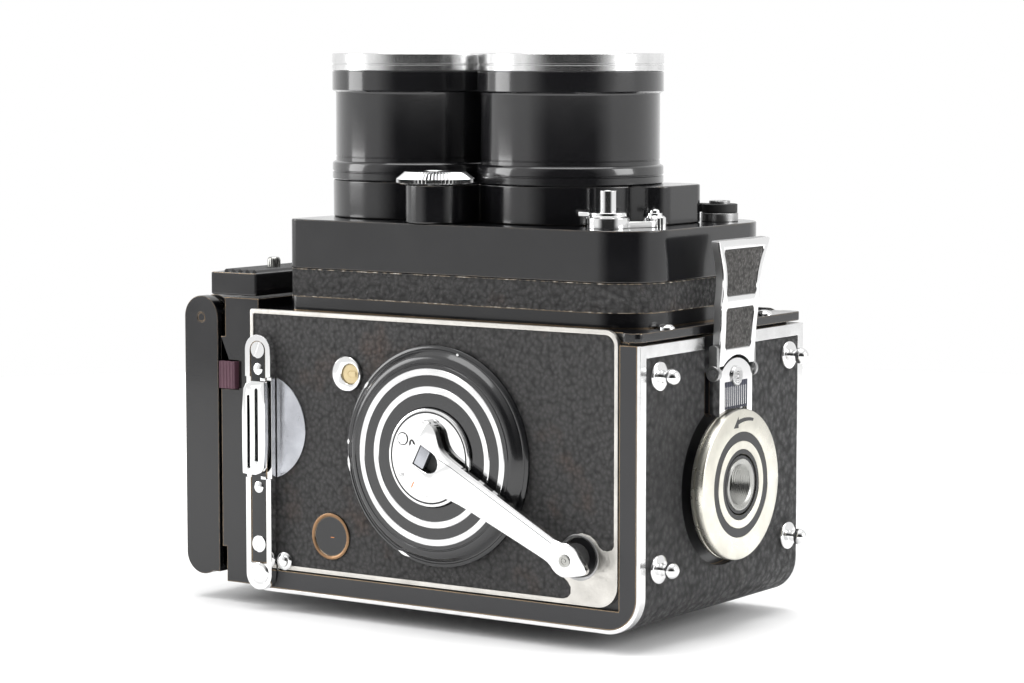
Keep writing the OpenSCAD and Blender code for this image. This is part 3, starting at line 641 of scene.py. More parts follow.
def bayonet_ring(x, radius, bright):
    """Chrome rim: knife edge on top, an undercut below it and three bayonet notches inside."""
    steps = 180
    inside = radius - 2.6
    profile = [
        (inside, 135.25), (radius - 0.15, 135.25), (radius, 135.4), (radius, 136.6),
        (radius - 0.22, 136.75), (radius - 0.22, 137.0), (radius, 137.15), (radius, RIM_Z - 0.2),
        (radius - 0.2, RIM_Z), (radius - 1.3, RIM_Z), (radius - 1.4, RIM_Z - 0.15),
        (inside, RIM_Z - 0.35), (inside, 137.4),
    ]
    notched = {9, 10, 11}

    def ripple(angle, index):
        off = (math.degrees(angle) - 30) % 120
        near_notch = min(off, 120 - off) < 10
        return (radius - 0.75) / profile[index][0] if index in notched and near_notch else 1

    return lathe("rim", profile, (x, 0, 0), UP, bright, steps=steps, ripple=ripple)


def screw_head(centre, axis, radius, material, slot_turn=0.0, proud=0.25):
    """Small slotted screw head with a rounded rim."""
    place = frame_for(centre, axis) @ Matrix.Rotation(slot_turn, 4, "Z")
    half_slot = radius * 0.16
    sheet = bmesh.new()
    bmesh.ops.create_circle(sheet, cap_ends=True, radius=radius, segments=32)
    for offset in (-half_slot, half_slot):
        whole = sheet.verts[:] + sheet.edges[:] + sheet.faces[:]
        bmesh.ops.bisect_plane(sheet, geom=whole, plane_co=(0, offset, 0), plane_no=(0, 1, 0))
    top = [f for f in sheet.faces if abs(f.calc_center_median().y) > half_slot * 1.01]
    raised = bmesh.ops.extrude_face_region(sheet, geom=top)
    moved = [e for e in raised["geom"] if isinstance(e, bmesh.types.BMVert)]
    bmesh.ops.translate(sheet, verts=moved, vec=(0, 0, proud))
    for vert in moved:
        reach = Vector((vert.co.x, vert.co.y))
        if reach.length > radius * 0.98:
            vert.co.z -= proud * 0.35
    bmesh.ops.delete(sheet, geom=[f for f in top if f.is_valid], context="FACES_ONLY")
    base = bmesh.ops.extrude_edge_only(sheet, edges=[e for e in sheet.edges if e.is_boundary])
    lowered = [e for e in base["geom"] if isinstance(e, bmesh.types.BMVert)]
    bmesh.ops.translate(sheet, verts=lowered, vec=(0, 0, -0.1))
    bmesh.ops.holes_fill(sheet, edges=[e for e in sheet.edges if e.is_boundary], sides=0)
    verts = [place @ v.co for v in sheet.verts]
    sheet.verts.index_update()
    faces = [[v.index for v in f.verts] for f in sheet.faces]
    sheet.free()
    return mesh_object("screw", verts, faces, material)


def barrel_screws(look):
    """Grub screws set round both head bands."""
    heads = []
    sets = ((TAKING, (-97, -36, 24, 84, 144, 204)), (VIEWING, (-82, -22, 38, 98, 158)))
    for (x, radius), turns in sets:
        for turn in turns:
            angle = math.radians(turn)
            out = Vector((math.cos(angle), math.sin(angle), 0))
            centre = Vector((x, 0, SCREW_Z)) + out * (radius - 0.22)
            heads.append(screw_head(centre, out, 0.85, look["chrome"], 0.6, 0.2))
    put(joined("barrel_screws", heads), "front", "chrome")


def make_lens_front(look):
    """Stepped black ring inside each barrel, in front of its lens."""
    for name, (x, radius) in (("taking", TAKING), ("viewing", VIEWING)):
        ring = [(radius - 9.2, 117.9), (radius - 4.9, 117.9), (radius - 4.9, 121.5), (radius - 5.6, 121.5)]
        height = 121.2
        for step in range(5):
            ring += [(radius - 5.9 - 0.35 * step, height), (radius - 6.0 - 0.35 * step, height - 0.35)]
            height -= 0.35
        made = lathe(name + "_inner_ring", ring, (x, 0, 0), UP, look["matt_black"])
        put(made, "front", "black_paint")


# ---------- setting wheels ----------

WHEEL_X, WHEEL_Y, WHEEL_R = -22.9, 25.2, 9.6


def setting_wheel(name, side, body, look):
    """Bevelled chrome wheel; the bevel and the rim carry fine knurling."""
    teeth = 60
    profile = [
        (0, 104.2), (2.0, 104.2), (2.0, 107.9), (WHEEL_R - 0.5, 107.9), (WHEEL_R - 0.05, 108.2),
        (WHEEL_R - 0.05, 109.1), (WHEEL_R - 1.9, 110.6), (WHEEL_R - 2.2, 110.85),
        (WHEEL_R - 2.6, 110.9), (WHEEL_R - 4.6, 110.9), (WHEEL_R - 4.8, 110.75), (0, 110.75),
    ]
    knurled = {3, 4, 5, 6}

    def ripple(angle, index):
        return 1 - (0.06 * (0.5 + 0.5 * math.cos(teeth * angle)) if index in knurled else 0)

    centre = (WHEEL_X, side * WHEEL_Y, 0)
    made = lathe(name, profile, centre, UP, look["chrome"], steps=teeth * 4, ripple=ripple, sharp_deg=25)
    put(made, body, "chrome", name)


# ---------- crank ----------

CRANK = (-13.0, 0.0, 42.8)
CRANK_REACH = 45.8
CRANK_ANGLE = math.radians(27)
ARM_BACK, ARM_FRONT = 43.0, 44.4


def crank_frame():
    """Place on the crank's axis with X along the arm and Z out of the side."""
    right = (math.cos(CRANK_ANGLE), 0, -math.sin(CRANK_ANGLE))
    return plane_frame(CRANK, right, NEAR_SIDE)


def crank_plate(look):
    """Black dished plate with a stepped, rounded rim and two bright inlaid rings."""
    profile = [
        (12.25, 38.02), (26.7, 38.02), (26.9, 38.2), (26.9, 38.9), (26.6, 39.2), (26.1, 39.3),
        (25.9, 39.15), (25.6, 39.15), (25.3, 39.4), (24.8, 40.2), (24.2, 40.75), (23.4, 41.0),
        (22.9, 41.0), (22.75, 40.85), (22.55, 40.85), (22.4, 41.0), (12.25, 41.0),
    ]
    plate = lathe("crank_plate_disc", profile, CRANK, NEAR_SIDE, look["chipped"], steps=FINE_STEPS)
    put(plate, "chassis", "black_paint", "crank_plate")
    rings = []
    for outer in (21.5, 17.2):
        band = [
            (outer - 1.6, 40.5), (outer, 40.5), (outer, 41.0), (outer - 0.15, 41.14),
            (outer - 1.45, 41.14), (outer - 1.6, 41.0),
        ]
        rings.append(lathe("ring", band, CRANK, NEAR_SIDE, look["bright"], steps=FINE_STEPS))
    put(joined("crank_bright_rings", rings), "chassis", "chrome", "crank_plate_rings")


def crank_hub(look):
    """Chrome hub: rim groove, hinge lugs and pin, slotted screw and keyhole, with dark rings round the
    screw and in the groove.
    """
    place = crank_frame()
    profile = [
        (0, 22), (4, 22), (4, 37.4), (11.9, 37.4), (12, 37.5), (12, 41.5), (11.85, 41.85),
        (11.5, 42), (11.25, 42), (11.2, 41.72), (10.85, 41.72), (10.8, 42), (0, 42),
    ]
    pieces = [lathe("hub", profile, CRANK, NEAR_SIDE, look["chrome"], steps=128)]
    pin_shape = [(0, -0.5), (0.7, -0.5), (0.7, 0.25), (0.5, 0.4), (0, 0.4)]
    for side in (-1, 1):
        lug = rounded_loop(-4.6, -1.4, side * 7.5 - 0.8, side * 7.5 + 0.8, 0.5)
        pieces.append(prism("lug", [lug], 41.9, 44.2, 0.3, place, look["chrome"]))
        pin = place @ Vector((-3, side * 8.3, 43.6))
        axis = place.to_3x3() @ Vector((0, side, 0))
        pieces.append(lathe("pin", pin_shape, pin, axis, look["chrome"], 24))
    put(joined("crank_hub_face", pieces), "crank_rotor", "chrome", "crank_hub")
    screw_x, screw_z = -20.6, 46.95
    screw = screw_head((screw_x, -42.02, screw_z), NEAR_SIDE, 1.35, look["chrome"], 0.9, 0.3)
    screw.name = "hub_screw"
    put(screw, "crank_rotor", "chrome")
    well = [(1.36, 41.95), (1.62, 41.95), (1.62, 42.03), (1.36, 42.03)]
    lines = [lathe("line", well, (screw_x, 0, screw_z), NEAR_SIDE, look["scratch"], 40)]
    groove = [(10.85, 41.7), (11.2, 41.7), (11.2, 41.9), (10.85, 41.9)]
    lines.append(lathe("line", groove, CRANK, NEAR_SIDE, look["scratch"], 128))
    put(joined("hub_lines", lines), "crank_rotor", "steel")
    turns = [t / 10 * math.pi for t in range(11)]
    crescent = [(0.9 * math.cos(t), 1.5 * math.sin(t)) for t in turns]
    crescent += [(0.35 * math.cos(t), 1.1 * math.sin(t)) for t in turns[9:0:-1]]
    slot_place = plane_frame((-17.8, 0, 45.5), (1, 0, 0.2), NEAR_SIDE)
    keyhole = prism("hub_keyhole", [crescent], 41.95, 42.06, 0, slot_place, look["matt_black"])
    put(keyhole, "crank_rotor", "black_plastic")


def crank_arm(look):
    """Flat tapering arm with a forked root, a window over its spring, and a pointed nose."""
    place = crank_frame()
    reach = CRANK_REACH
    root = [(-3.6, -8.4), (-3.6, 8.4), (-1.2, 8.4)]
    upper = [(0.6, 7.6), (1.8, 6.2), (3.2, 4.9), (5.4, 4.1), (9, 3.9), (13, 3.8)]
    upper += [(reach - 6, 2.9), (reach - 3.4, 3.0)]
    nose = [(-1.4, 4.0), (1.4, 4.0), (3.6, 2.6), (6.0, 1.5), (6.4, 0.2)]
    nose += [(5.4, -0.9), (3.4, -2.4), (1.2, -4.0), (-1.4, -4.0)]
    nose = [(reach + u, v) for u, v in nose]
    lower = [(reach - 3.4, -3.0), (reach - 6, -2.9)]
    lower += [(15, -4.2), (10.6, -4.9), (7.6, -6.2), (4.4, -8.0), (0.5, -8.4)]
    outline = (root + upper + nose + lower)[::-1]
    window = [(-2.2, -2.6), (1.6, -2.6)]
    for step in range(1, 8):
        turn = step / 8 * math.pi
        window.append((1.6 + 2.9 * math.sin(turn), -2.6 * math.cos(turn)))
    window += [(1.6, 2.6), (-2.2, 2.6)]
    loops = [smooth_loop(outline, 1), window]
    arm = prism("crank_arm_blade", loops, ARM_BACK, ARM_FRONT, 0.35, place, look["chrome"])
    put(arm, "crank_arm", "chrome", "crank_arm")
    ridge = [(4, 2.4), (8, 2.55), (reach - 5, 1.75), (reach - 5, 1.6), (8, 2.4), (4, 2.25)][::-1]
    sunk = ARM_FRONT - 0.02
    groove = prism("crank_arm_groove", [ridge], sunk, ARM_FRONT + 0.015, 0, place, look["scratch"])
    put(groove, "crank_arm", "chrome")
    tongue = rounded_loop(-2.1, 0.9, -2.45, 2.45, 0.3)
    spring = prism("crank_spring", [tongue], 42.3, 44.1, 0.25, place, look["guard"])
    put(spring, "crank_arm", "chrome")
    base = [circle_loop(1.8, 0, 2.5)]
    well = prism("crank_window_floor", base, 42.02, 42.12, 0, place, look["scratch"])
    put(well, "crank_rotor", "steel")
    index = rounded_loop(0.1, 0.42, -7.9, -6.2, 0.15)
    line = prism("crank_index_line", [index], sunk, ARM_FRONT + 0.02, 0, place, look["orange"])
    put(line, "crank_arm", "ivory")
    rivet_at = place @ Vector((reach, 0, 0))
    profile = [(0, 44.5), (1.5, 44.5), (1.5, 44.66), (1.2, 44.76), (0.95, 44.7), (0.8, 44.7)]
    profile += [(0.72, 44.55), (0.5, 44.55), (0.45, 44.72), (0.2, 44.72), (0, 44.66)]
    rivet = lathe("crank_rivet", profile, rivet_at, NEAR_SIDE, look["steel"], 40)
    put(rivet, "crank_arm", "steel")


def crank_knob(look):
    """Black plastic grip, diamond knurled, on its steel rivet."""
    place = crank_frame()
    centre = place @ Vector((CRANK_REACH, 0, 0))
    steps = 96
    profile = [(0, 38.7), (3.0, 38.7), (3.4, 38.95)]
    height = 39.2
    while height < 42.2:
        profile.append((3.55, height))
        height += 0.28
    profile += [(3.4, 42.45), (3.0, 42.7), (1.3, 42.7), (1.3, 44.4), (0, 44.4)]

    def ripple(angle, index):
        if 3 <= index <= len(profile) - 6:
            return 1 - 0.03 * (0.5 + 0.5 * math.cos(24 * angle) * math.cos(math.pi * index))
        return 1

    knob = lathe("crank_grip", profile, centre, NEAR_SIDE, look["black_plastic"], steps, ripple, 60)
    put(knob, "crank_knob", "black_plastic", "crank_knob")


# ---------- bottom end: disc, bush, feet and latch ----------

SOCKET_Z = 36.45
DISC_R = 18.2
DISC_FACE = 49.35


def tripod_disc(look):
    """Turned disc with two blackened grooves and an engraved arrow."""
    centre = (0, 0, SOCKET_Z)
    profile = [
        (7.45, 45.9), (17.8, 45.9), (18.1, 46.1), (18.1, 46.7), (17.75, 46.9), (17.75, 47.1),
        (DISC_R, 47.35), (DISC_R, 48.95), (18.05, 49.2), (17.75, DISC_FACE), (12.8, DISC_FACE),
        (12.7, 49.2), (10.6, 49.2), (10.5, DISC_FACE), (8.6, DISC_FACE), (8.5, 49.2), (7.45, 49.2),
    ]
    disc = lathe("tripod_disc_plate", profile, centre, BOTTOM_END, look["disc"], steps=FINE_STEPS)
    put(disc, "disc", "satin", "tripod_disc")
    fills = []
    for inner, outer in ((10.6, 12.7), (7.47, 8.5)):
        band = [(inner, 49.1), (outer, 49.1), (outer, 49.27), (inner, 49.27)]
        fills.append(lathe("band", band, centre, BOTTOM_END, look["black_fill"], steps=FINE_STEPS))
    face = plane_frame(centre, (0, 1, 0), BOTTOM_END)
    shaft = []
    for edge in (0.45, -0.45):
        row = []
        for step in range(13):
            turn = math.radians(20 - 26 * step / 12)
            radius = DISC_R * (0.89 - 0.05 * step / 12) + edge * (0.8 + 0.4 * step / 12)
            row.append((radius * math.sin(turn), radius * math.cos(turn)))
        shaft.append(row)
    head = []
    for share, degrees in ((0.79, -15), (0.915, -5.2), (0.765, -6.2)):
        turn = math.radians(degrees)
        head.append((DISC_R * share * math.sin(turn), DISC_R * share * math.cos(turn)))
    for name, loop in (("shaft", shaft[0] + shaft[1][::-1]), ("head", head)):
        fills.append(prism(name, [loop], DISC_FACE - 0.05, DISC_FACE + 0.02, 0, face, look["black_fill"]))
    put(joined("tripod_disc_marks", fills), "disc", "black_paint")


def tripod_bush(look):
    """Steel bush with a countersunk mouth and real thread ridges."""
    turns = []
    x = 48.9
    while x > 43.4:
        turns += [(4.9, x), (5.15, x - 0.25)]
        x -= 0.5
    profile = [(7.15, 41.0), (7.15, 48.3), (7.0, 49.0), (6.3, 49.05), (6.2, 49.3), (5.5, 49.3)]
    profile += turns + [(4.9, 43.0), (0, 43.0), (0, 41.0)]
    bush = lathe("tripod_bush_ring", profile, (0, 0, SOCKET_Z), BOTTOM_END, look["steel"], steps=96)
    put(bush, "door", "steel", "tripod_bush")
    band = [(6.35, 48.6), (7.1, 48.6), (7.0, 49.12), (6.35, 49.12)]
    fill = lathe("tripod_bush_band", band, (0, 0, SOCKET_Z), BOTTOM_END, look["black_fill"], steps=96)
    put(fill, "door", "black_paint")


def feet(look):
    """Four polished ball feet on domed washers."""
    made = []
    ball = [(2 * math.sin(math.pi * t / 16), 48.35 - 2 * math.cos(math.pi * t / 16)) for t in range(4, 17)]
    profile = [
        (0, 42.3), (1.2, 42.3), (1.2, 44.72), (3.5, 44.72), (3.5, 45.15), (3.35, 45.4), (2.9, 45.6),
        (2.2, 45.75), (1.5, 45.9), (1.3, 46.2),
    ]
    profile += ball[:-1] + [(0, 50.35)]
    for y in (-30.5, 30.5):
        for z in (19.75, 65):
            made.append(lathe("foot", profile, (0, y, z), BOTTOM_END, look["chrome"], 40))
    put(joined("ball_feet", made), "door", "chrome", "feet")


LATCH_AXIS = (46.65, 63.8)
LEVER_FOOT = Vector((47.9, 0, 65.0))
LEVER_HEAD = Vector((50.0, 0, 95.6))
LEVER_WIDTHS = [
    (0, 8.0), (5, 8.05), (11, 8.3), (15.5, 8.75), (18, 8.5), (20, 8.45), (22.5, 8.8), (25, 9.6),
    (28, 11.0), (30.2, 12.0),
]


def lever_width(reach):
    """Half width of the latch lever at a reach from its foot."""
    for (r0, w0), (r1, w1) in zip(LEVER_WIDTHS, LEVER_WIDTHS[1:]):
        if reach <= r1:
            return w0 + (w1 - w0) * (reach - r0) / (r1 - r0)
    return LEVER_WIDTHS[-1][1]


def lever_loop(low, high, inset, steps=14, corner=0.0):
    """Outline between two reaches, following the lever's sides at the given inset."""
    rows = [low + (high - low) * n / steps for n in range(steps + 1)]
    right = [(lever_width(r) - inset, r) for r in rows]
    if corner:
        right = [(w - (corner if n in (0, steps) else 0), r) for n, (w, r) in enumerate(right)]
        right[0:1] = [(right[0][0], low)]
    left = [(-w, r) for w, r in reversed(right)]
    return right + left


def latch_lever(look):
    """Flared lever: a solid back, a polished frame with a cross bar, and two leather inlays."""
    slope = (LEVER_HEAD - LEVER_FOOT).normalized()
    face = plane_frame(LEVER_FOOT, (0, 1, 0), slope.cross(Vector((0, -1, 0))))
    turns = [-0.71 + 1.42 * n / 12 for n in range(13)]
    arc = [(9.8 * math.sin(turn), 9.8 * math.cos(turn) - 7.05) for turn in turns]
    rows = [0.35 + 29.85 * n / 20 for n in range(21)]
    sides = [(lever_width(r), r) for r in rows]
    outline = arc + sides[:-1] + [(11.9, 30.3), (11.4, 30.55), (-11.4, 30.55), (-11.9, 30.3)]
    outline += [(-w, r) for w, r in reversed(sides[:-1])]
    inlays = [lever_loop(4.4, 14.2, 2.0, corner=0.5), lever_loop(17.1, 28.4, 1.6, corner=0.6)]
    frame_piece = prism("latch_lever_frame", [outline[::-1]] + inlays, -0.55, 0, 0.28, face, look["chrome"])
    back = prism("latch_lever_back", [outline[::-1]], -2.3, -0.5, 0, face, look["satin"])
    ears = []
    eye = [(1.05, 0), (1.9, 0), (1.9, 0.95), (1.7, 1.15), (1.05, 1.15)]
    for side in (-1, 1):
        pivot = (LATCH_AXIS[0], side * 8.15, LATCH_AXIS[1])
        ears.append(lathe("ear", eye, pivot, (0, side, 0), look["satin"], 32))
        cheek = rounded_loop(45.5, 47.8, 64.0, 70.5, 0.8)
        flat = plane_frame((0, side * 8.15, 0), (side, 0, 0), (0, side, 0))
        cheek = [(side * x, z) for x, z in cheek]
        up_sign = flat.to_3x3() @ Vector((0, 1, 0))
        cheek = [(x, z * (1 if up_sign.z > 0 else -1)) for x, z in cheek]
        ears.append(prism("cheek", [cheek], -0.3, 1.0, 0.2, flat, look["satin"]))
    lever = joined("latch_lever_body", [back] + ears)
    put(lever, "latch", "satin", "latch_lever")
    put(frame_piece, "latch", "chrome")
    for name, low, high, inset in (("low", 4.55, 14.05, 2.1), ("high", 17.25, 28.25, 1.7)):
        shape = [lever_loop(low, high, inset, corner=0.5)]
        pad = prism("latch_inlay_" + name, shape, -0.5, -0.12, 0.1, face, look["inlay_leather"])
        put(pad, "latch", "leather")


def latch_bar_details(look):
    """Black ribbed channel and the concentric button on the latch bar."""
    steps, half = 66, 5.15
    section = [(-half, 47.02)]
    for n in range(steps + 1):
        section.append((-half + 2 * half * n / steps, 47.72 + 0.1 * math.cos(math.tau * n / 6)))
    section.append((half, 47.02))
    ribs = bar("latch_bar_ribs", section, 54.9, 61.45, lambda y, x, z: (x, y, z), look["blue_black"])
    put(ribs, "door", "black_paint")
    profile = [(0, 47.6), (2.35, 47.6), (2.35, 48.1), (2.2, 48.25)]
    for radius in (1.9, 1.4, 0.9):
        profile += [(radius + 0.12, 48.25), (radius, 48.1), (radius - 0.12, 48.25)]
    profile += [(0.4, 48.25), (0, 48.2)]
    button = lathe("latch_bar_button", profile, (0, 0, 62.6), BOTTOM_END, look["satin"], 48)
    put(button, "door", "satin")


# ---------- side panels ----------

PANEL_X0, PANEL_X1 = -71.0, 38.45
PANEL_Z0, PANEL_Z1 = 10.6, 75.8
SELECTOR = (-40.2, 61.2)
COUNTER = (-45.8, 20.3)
KNOB_WELL = (27.8, 22.0)
LEATHER_CORNER = [
    (37.45, 25.4), (36.9, 24.5), (35.6, 24.1), (34.3, 24.2), (33.4, 24.9), (32.5, 26.2), (30.9, 27.3),
    (28.5, 27.8), (26.2, 27.2), (24.2, 25.8), (22.4, 23.4), (21.4, 20.8), (21.5, 18.9), (22.8, 17.3),
    (24.6, 16.0), (25.5, 14.7), (25.4, 13.1), (24.6, 12.2), (23.2, 11.8),
]


def mixed_loop(x0, x1, z0, z1, corners, steps=8):
    """Rectangle with its own radius at each corner, from the high-x high-z one anticlockwise."""
    path = []
    places = [(x1, z1, -1, -1), (x0, z1, 1, -1), (x0, z0, 1, 1), (x1, z0, -1, 1)]
    for turn, ((x, z, sx, sz), corner) in enumerate(zip(places, corners)):
        for step in range(steps + 1):
            angle = math.pi / 2 * (turn + step / steps)
            centre_x, centre_z = x + sx * corner, z + sz * corner
            path.append((centre_x + corner * math.cos(angle), centre_z + corner * math.sin(angle)))
    return path


def panel_inside():
    """Limits of the leather within its aluminium frame, as x0, x1, z0, z1."""
    return PANEL_X0 + 1, PANEL_X1 - 1, PANEL_Z0 + 1.1, PANEL_Z1 - 1.1


def leather_loop():
    """Outline of the crank side's leather, with its corner cut round the crank's knob."""
    x0, x1, z0, z1 = panel_inside()
    corner = mixed_loop(x0, x1, z0, z1, (2.6, 0.4, 3.0, 3.0))
    return corner[:27] + LEATHER_CORNER[::-1]


def side_panels(look):
    """Leather, thin aluminium frame and satin corner plate of the crank side; frame of the other."""
    face = plane_frame((0, 0, 0), (1, 0, 0), NEAR_SIDE)
    holes = [
        circle_loop(*COUNTER, 5.85, 64),
        circle_loop(*SELECTOR, 4.35, 48),
        circle_loop(CRANK[0], CRANK[2], 20, 96),
    ]
    loops = [leather_loop()] + holes
    skin = prism("crank_side_leather", loops, 36.95, 38.0, 0.25, face, look["side_leather"])
    put(skin, "chassis", "leather", "crank_side_panel")
    outer = mixed_loop(PANEL_X0, PANEL_X1, PANEL_Z0, PANEL_Z1, (3.6, 0.6, 4.0, 5.5))
    well = circle_loop(*KNOB_WELL, 4.7, 48)
    near = prism("crank_side_trim", [outer, leather_loop(), well], 36.95, 38.25, 0.12, face, look["trim"])
    arch = [(4.75, 38.0), (5.55, 38.0), (5.5, 38.38), (5.3, 38.45), (5.0, 38.45), (4.75, 38.3)]
    well_centre = (KNOB_WELL[0], 0, KNOB_WELL[1])
    rim = lathe("knob_well_rim", arch, well_centre, NEAR_SIDE, look["satin"], 64)
    back = plane_frame((0, 0, 0), (-1, 0, 0), -NEAR_SIDE)
    mirrored = [(-x, z) for x, z in outer]
    inside = [(-x, z) for x, z in rounded_loop(*panel_inside(), 4.5)]
    far = prism("knob_side_trim", [mirrored, inside], 37.9, 38.25, 0.12, back, look["trim"])
    put(joined("side_trim_lines", [near, far, rim]), "chassis", "satin", "side_trims")


def side_fittings(look):
    """Flash selector and counter window."""
    centre = (SELECTOR[0], 0, SELECTOR[1])
    local = plane_frame(centre, (1, 0, 0), NEAR_SIDE)
    hole = circle_loop(1.1, 0, 2.55, 48)
    loops = [circle_loop(0, 0, 4.3, 72), hole]
    selector = prism("selector_bezel", loops, 38.0, 38.95, 0.35, local, look["chrome"])
    put(selector, "selector", "chrome", "selector_ring")
    centre = (SELECTOR[0] + 1.1, 0, SELECTOR[1])
    plug = [(0, 37.9), (2.5, 37.9), (2.5, 38.25), (2.3, 38.5), (0.9, 38.5), (0.8, 38.4), (0, 38.4)]
    pip = lathe("selector_pip", plug, centre, NEAR_SIDE, look["ivory"], 48)
    face = plane_frame((0, 0, 0), (1, 0, 0), NEAR_SIDE)
    key = rounded_loop(SELECTOR[0] + 0.9, SELECTOR[0] + 2.9, SELECTOR[1] - 0.7, SELECTOR[1] + 0.7, 0.5)
    bar = prism("selector_key", [key], 38.3, 38.95, 0.2, face, look["ivory"])
    put(joined("selector_peg", [pip, bar]), "selector", "ivory", "selector_plug")
    centre = (COUNTER[0], 0, COUNTER[1])
    window = [(0, 37.0), (5.8, 37.0), (5.8, 38.2), (5.6, 38.3), (5.1, 38.3), (4.9, 38.05), (0, 38.0)]
    glass_disc = lathe("counter_face", window, centre, NEAR_SIDE, look["gloss_black"], 64)
    put(glass_disc, "chassis", "glass", "counter_window")
    bezel = [(5.0, 38.1), (5.75, 38.1), (5.75, 38.32), (5.5, 38.42), (5.25, 38.4), (5.0, 38.25)]
    put(lathe("counter_bezel", bezel, centre, NEAR_SIDE, look["brass"], 64), "chassis", "chrome")
    dash = rounded_loop(COUNTER[0] - 0.1, COUNTER[0] + 1.0, COUNTER[1] - 0.35, COUNTER[1] - 0.15, 0.08)
    mark = prism("counter_dash", [dash], 37.99, 38.02, 0, face, look["orange"])
    put(mark, "chassis", "ivory")


STRAP_X = -66.8


def strap_details(look):
    """Black inlays in the strap plates and slotted screws and rivets over them."""
    for name, side in (("near", 1), ("far", -1)):
        out = NEAR_SIDE * side
        face = plane_frame((STRAP_X, 0, 37.4), (side, 0, 0), out)
        inlay = mixed_loop(-2.45, 2.45, -25.4, 30.7, (2.4, 2.4, 0.4, 0.4))
        foot = mixed_loop(-2.6, 2.6, -30.9, -25.5, (0.2, 0.2, 2.5, 2.5))
        sole = prism("foot", [foot], 39.9, 40.62, 0.1, face, look["chrome"])
        cap = [(0, 40.5), (2.7, 40.5), (2.7, 40.8), (2.3, 41.0), (1.9, 41.02), (0, 41.05)]
        button = lathe("cap", cap, (-66.5, 0, 9.4), out, look["chrome"], 48)
        put(joined("strap_plate_foot_" + name, [sole, button]), "chassis", "chrome")
        strip = prism("strap_inlay_" + name, [inlay], 40.05, 40.32, 0.08, face, look["gloss_black"])
        put(strip, "chassis", "black_paint")
        heads = []
        for z, radius in ((65.8, 2.1), (16.8, 2.1)):
            place = (STRAP_X, -40.35 * side, z)
            heads.append(screw_head(place, out, radius, look["chrome"], 1.2 * side, 0.32))
        for z in (61.0, 31.2):
            dome = [(0, 40.2), (1.5, 40.2), (1.45, 40.45), (1.1, 40.65), (0, 40.75)]
            heads.append(lathe("rivet", dome, (STRAP_X, 0, z), out, look["chrome"], 32))
        stud = [(0, 38.1), (2.3, 38.1), (2.3, 38.7), (2.0, 38.95)]
        stud += [(1.5, 39.0), (1.4, 39.5), (1.1, 39.7), (0, 39.75)]
        heads.append(lathe("stud", stud, (-60.2, 0, 12.8), out, look["chrome"], 40))
        put(joined("strap_screw_heads_" + name, heads), "chassis", "chrome", "strap_screws")


def strap_loops(look):
    """Strap anchors: plates with two slots and two corners cut off, hinged at their long edge."""
    for name, side in (("near", 1), ("far", -1)):
        face = plane_frame((-66.9, 0, 46.3), (side, 0, 0), NEAR_SIDE * side)
        half = [(-3.7, 9.2), (-1.9, 11.8), (3.3, 11.8), (3.7, 11.4)]
        shape = [(x * side, z) for x, z in half] + [(-x * side, -z) for x, z in half]
        slots = []
        for x, low, high in ((-1.6, -10.2, 8.2), (0.9, -8.4, 10.0)):
            slots.append(rounded_loop(x * side - 0.5, x * side + 0.5, low, high, 0.49))
        loops = [smooth_loop(shape[::-1], 1)] + slots
        loop = prism("strap_anchor_" + name, loops, 41.1, 42.3, 0.25, face, look["chrome"])
        put(loop, "strap_" + name, "chrome", "strap_loop_" + name)


def hood_button(look):
    """Hood catch with five upright ribs."""
    section = []
    for step in range(41):
        share = step / 40
        section.append((-82.9 + 5.0 * share, -36.05 - 0.2 * math.cos(math.tau * 5 * share)))
    section = [(-82.9, -33.7)] + section + [(-77.9, -33.7)]
    ribs = bar("hood_catch_ribs", section, 54.85, 61.75, lambda x, y, z: (x, y, z), look["plum"])
    put(ribs, "hood_button", "plum", "hood_button")


def rim_chips(look):
    """Chips of bright metal where the crank plate's rim has lost its lacquer."""
    face = plane_frame(CRANK, (1, 0, 0), NEAR_SIDE)
    chips = []
    places = [(142, 5.0, 26.2), (176, 3.0, 26.3), (188, 8.5, 26.35), (249, 8.0, 26.2), (75, 1.8, 25.9)]
    for turn, length, radius in places:
        outer, inner = [], []
        for step in range(9):
            angle = math.radians(turn + length * (step / 8 - 0.5))
            thick = 0.42 * math.sin(math.pi * (step + 0.3) / 8.6) * (0.6 + 0.4 * random.random())
            outer.append(((radius + thick) * math.cos(angle), (radius + thick) * math.sin(angle)))
            inner.append(((radius - thick) * math.cos(angle), (radius - thick) * math.sin(angle)))
        chips.append(prism("chip", [outer + inner[::-1]], 39.1, 39.34, 0, face, look["bright"]))
    put(joined("crank_plate_chips", chips), "chassis", "chrome")


def front_skirt(look):
    """Lacquered base strip, a leather band above it and worn metal lines at their edges."""

    def band(name, inset, low, high, material, chamfer=0.1):
        outer = front_loop(inset)
        inner = front_loop(inset + 1.6)
        return prism(name, [outer, inner], low, high, chamfer, Matrix.Identity(4), material)

    base = band("skirt_base", 0.0, 75.45, 79.1, look["gloss_black"])
    put(base, "chassis", "black_paint", "front_skirt")
    cover = band("skirt_leather", 0.12, 79.1, 85.9, look["side_leather"], 0.2)
    put(cover, "chassis", "leather")
    lines = [
        band("line", -0.04, 79.02, 79.16, look["worn_edge"], 0),
        band("line", -0.04, 85.78, 85.93, look["worn_edge"], 0),
    ]
    put(joined("skirt_worn_lines", lines), "chassis", "chrome")


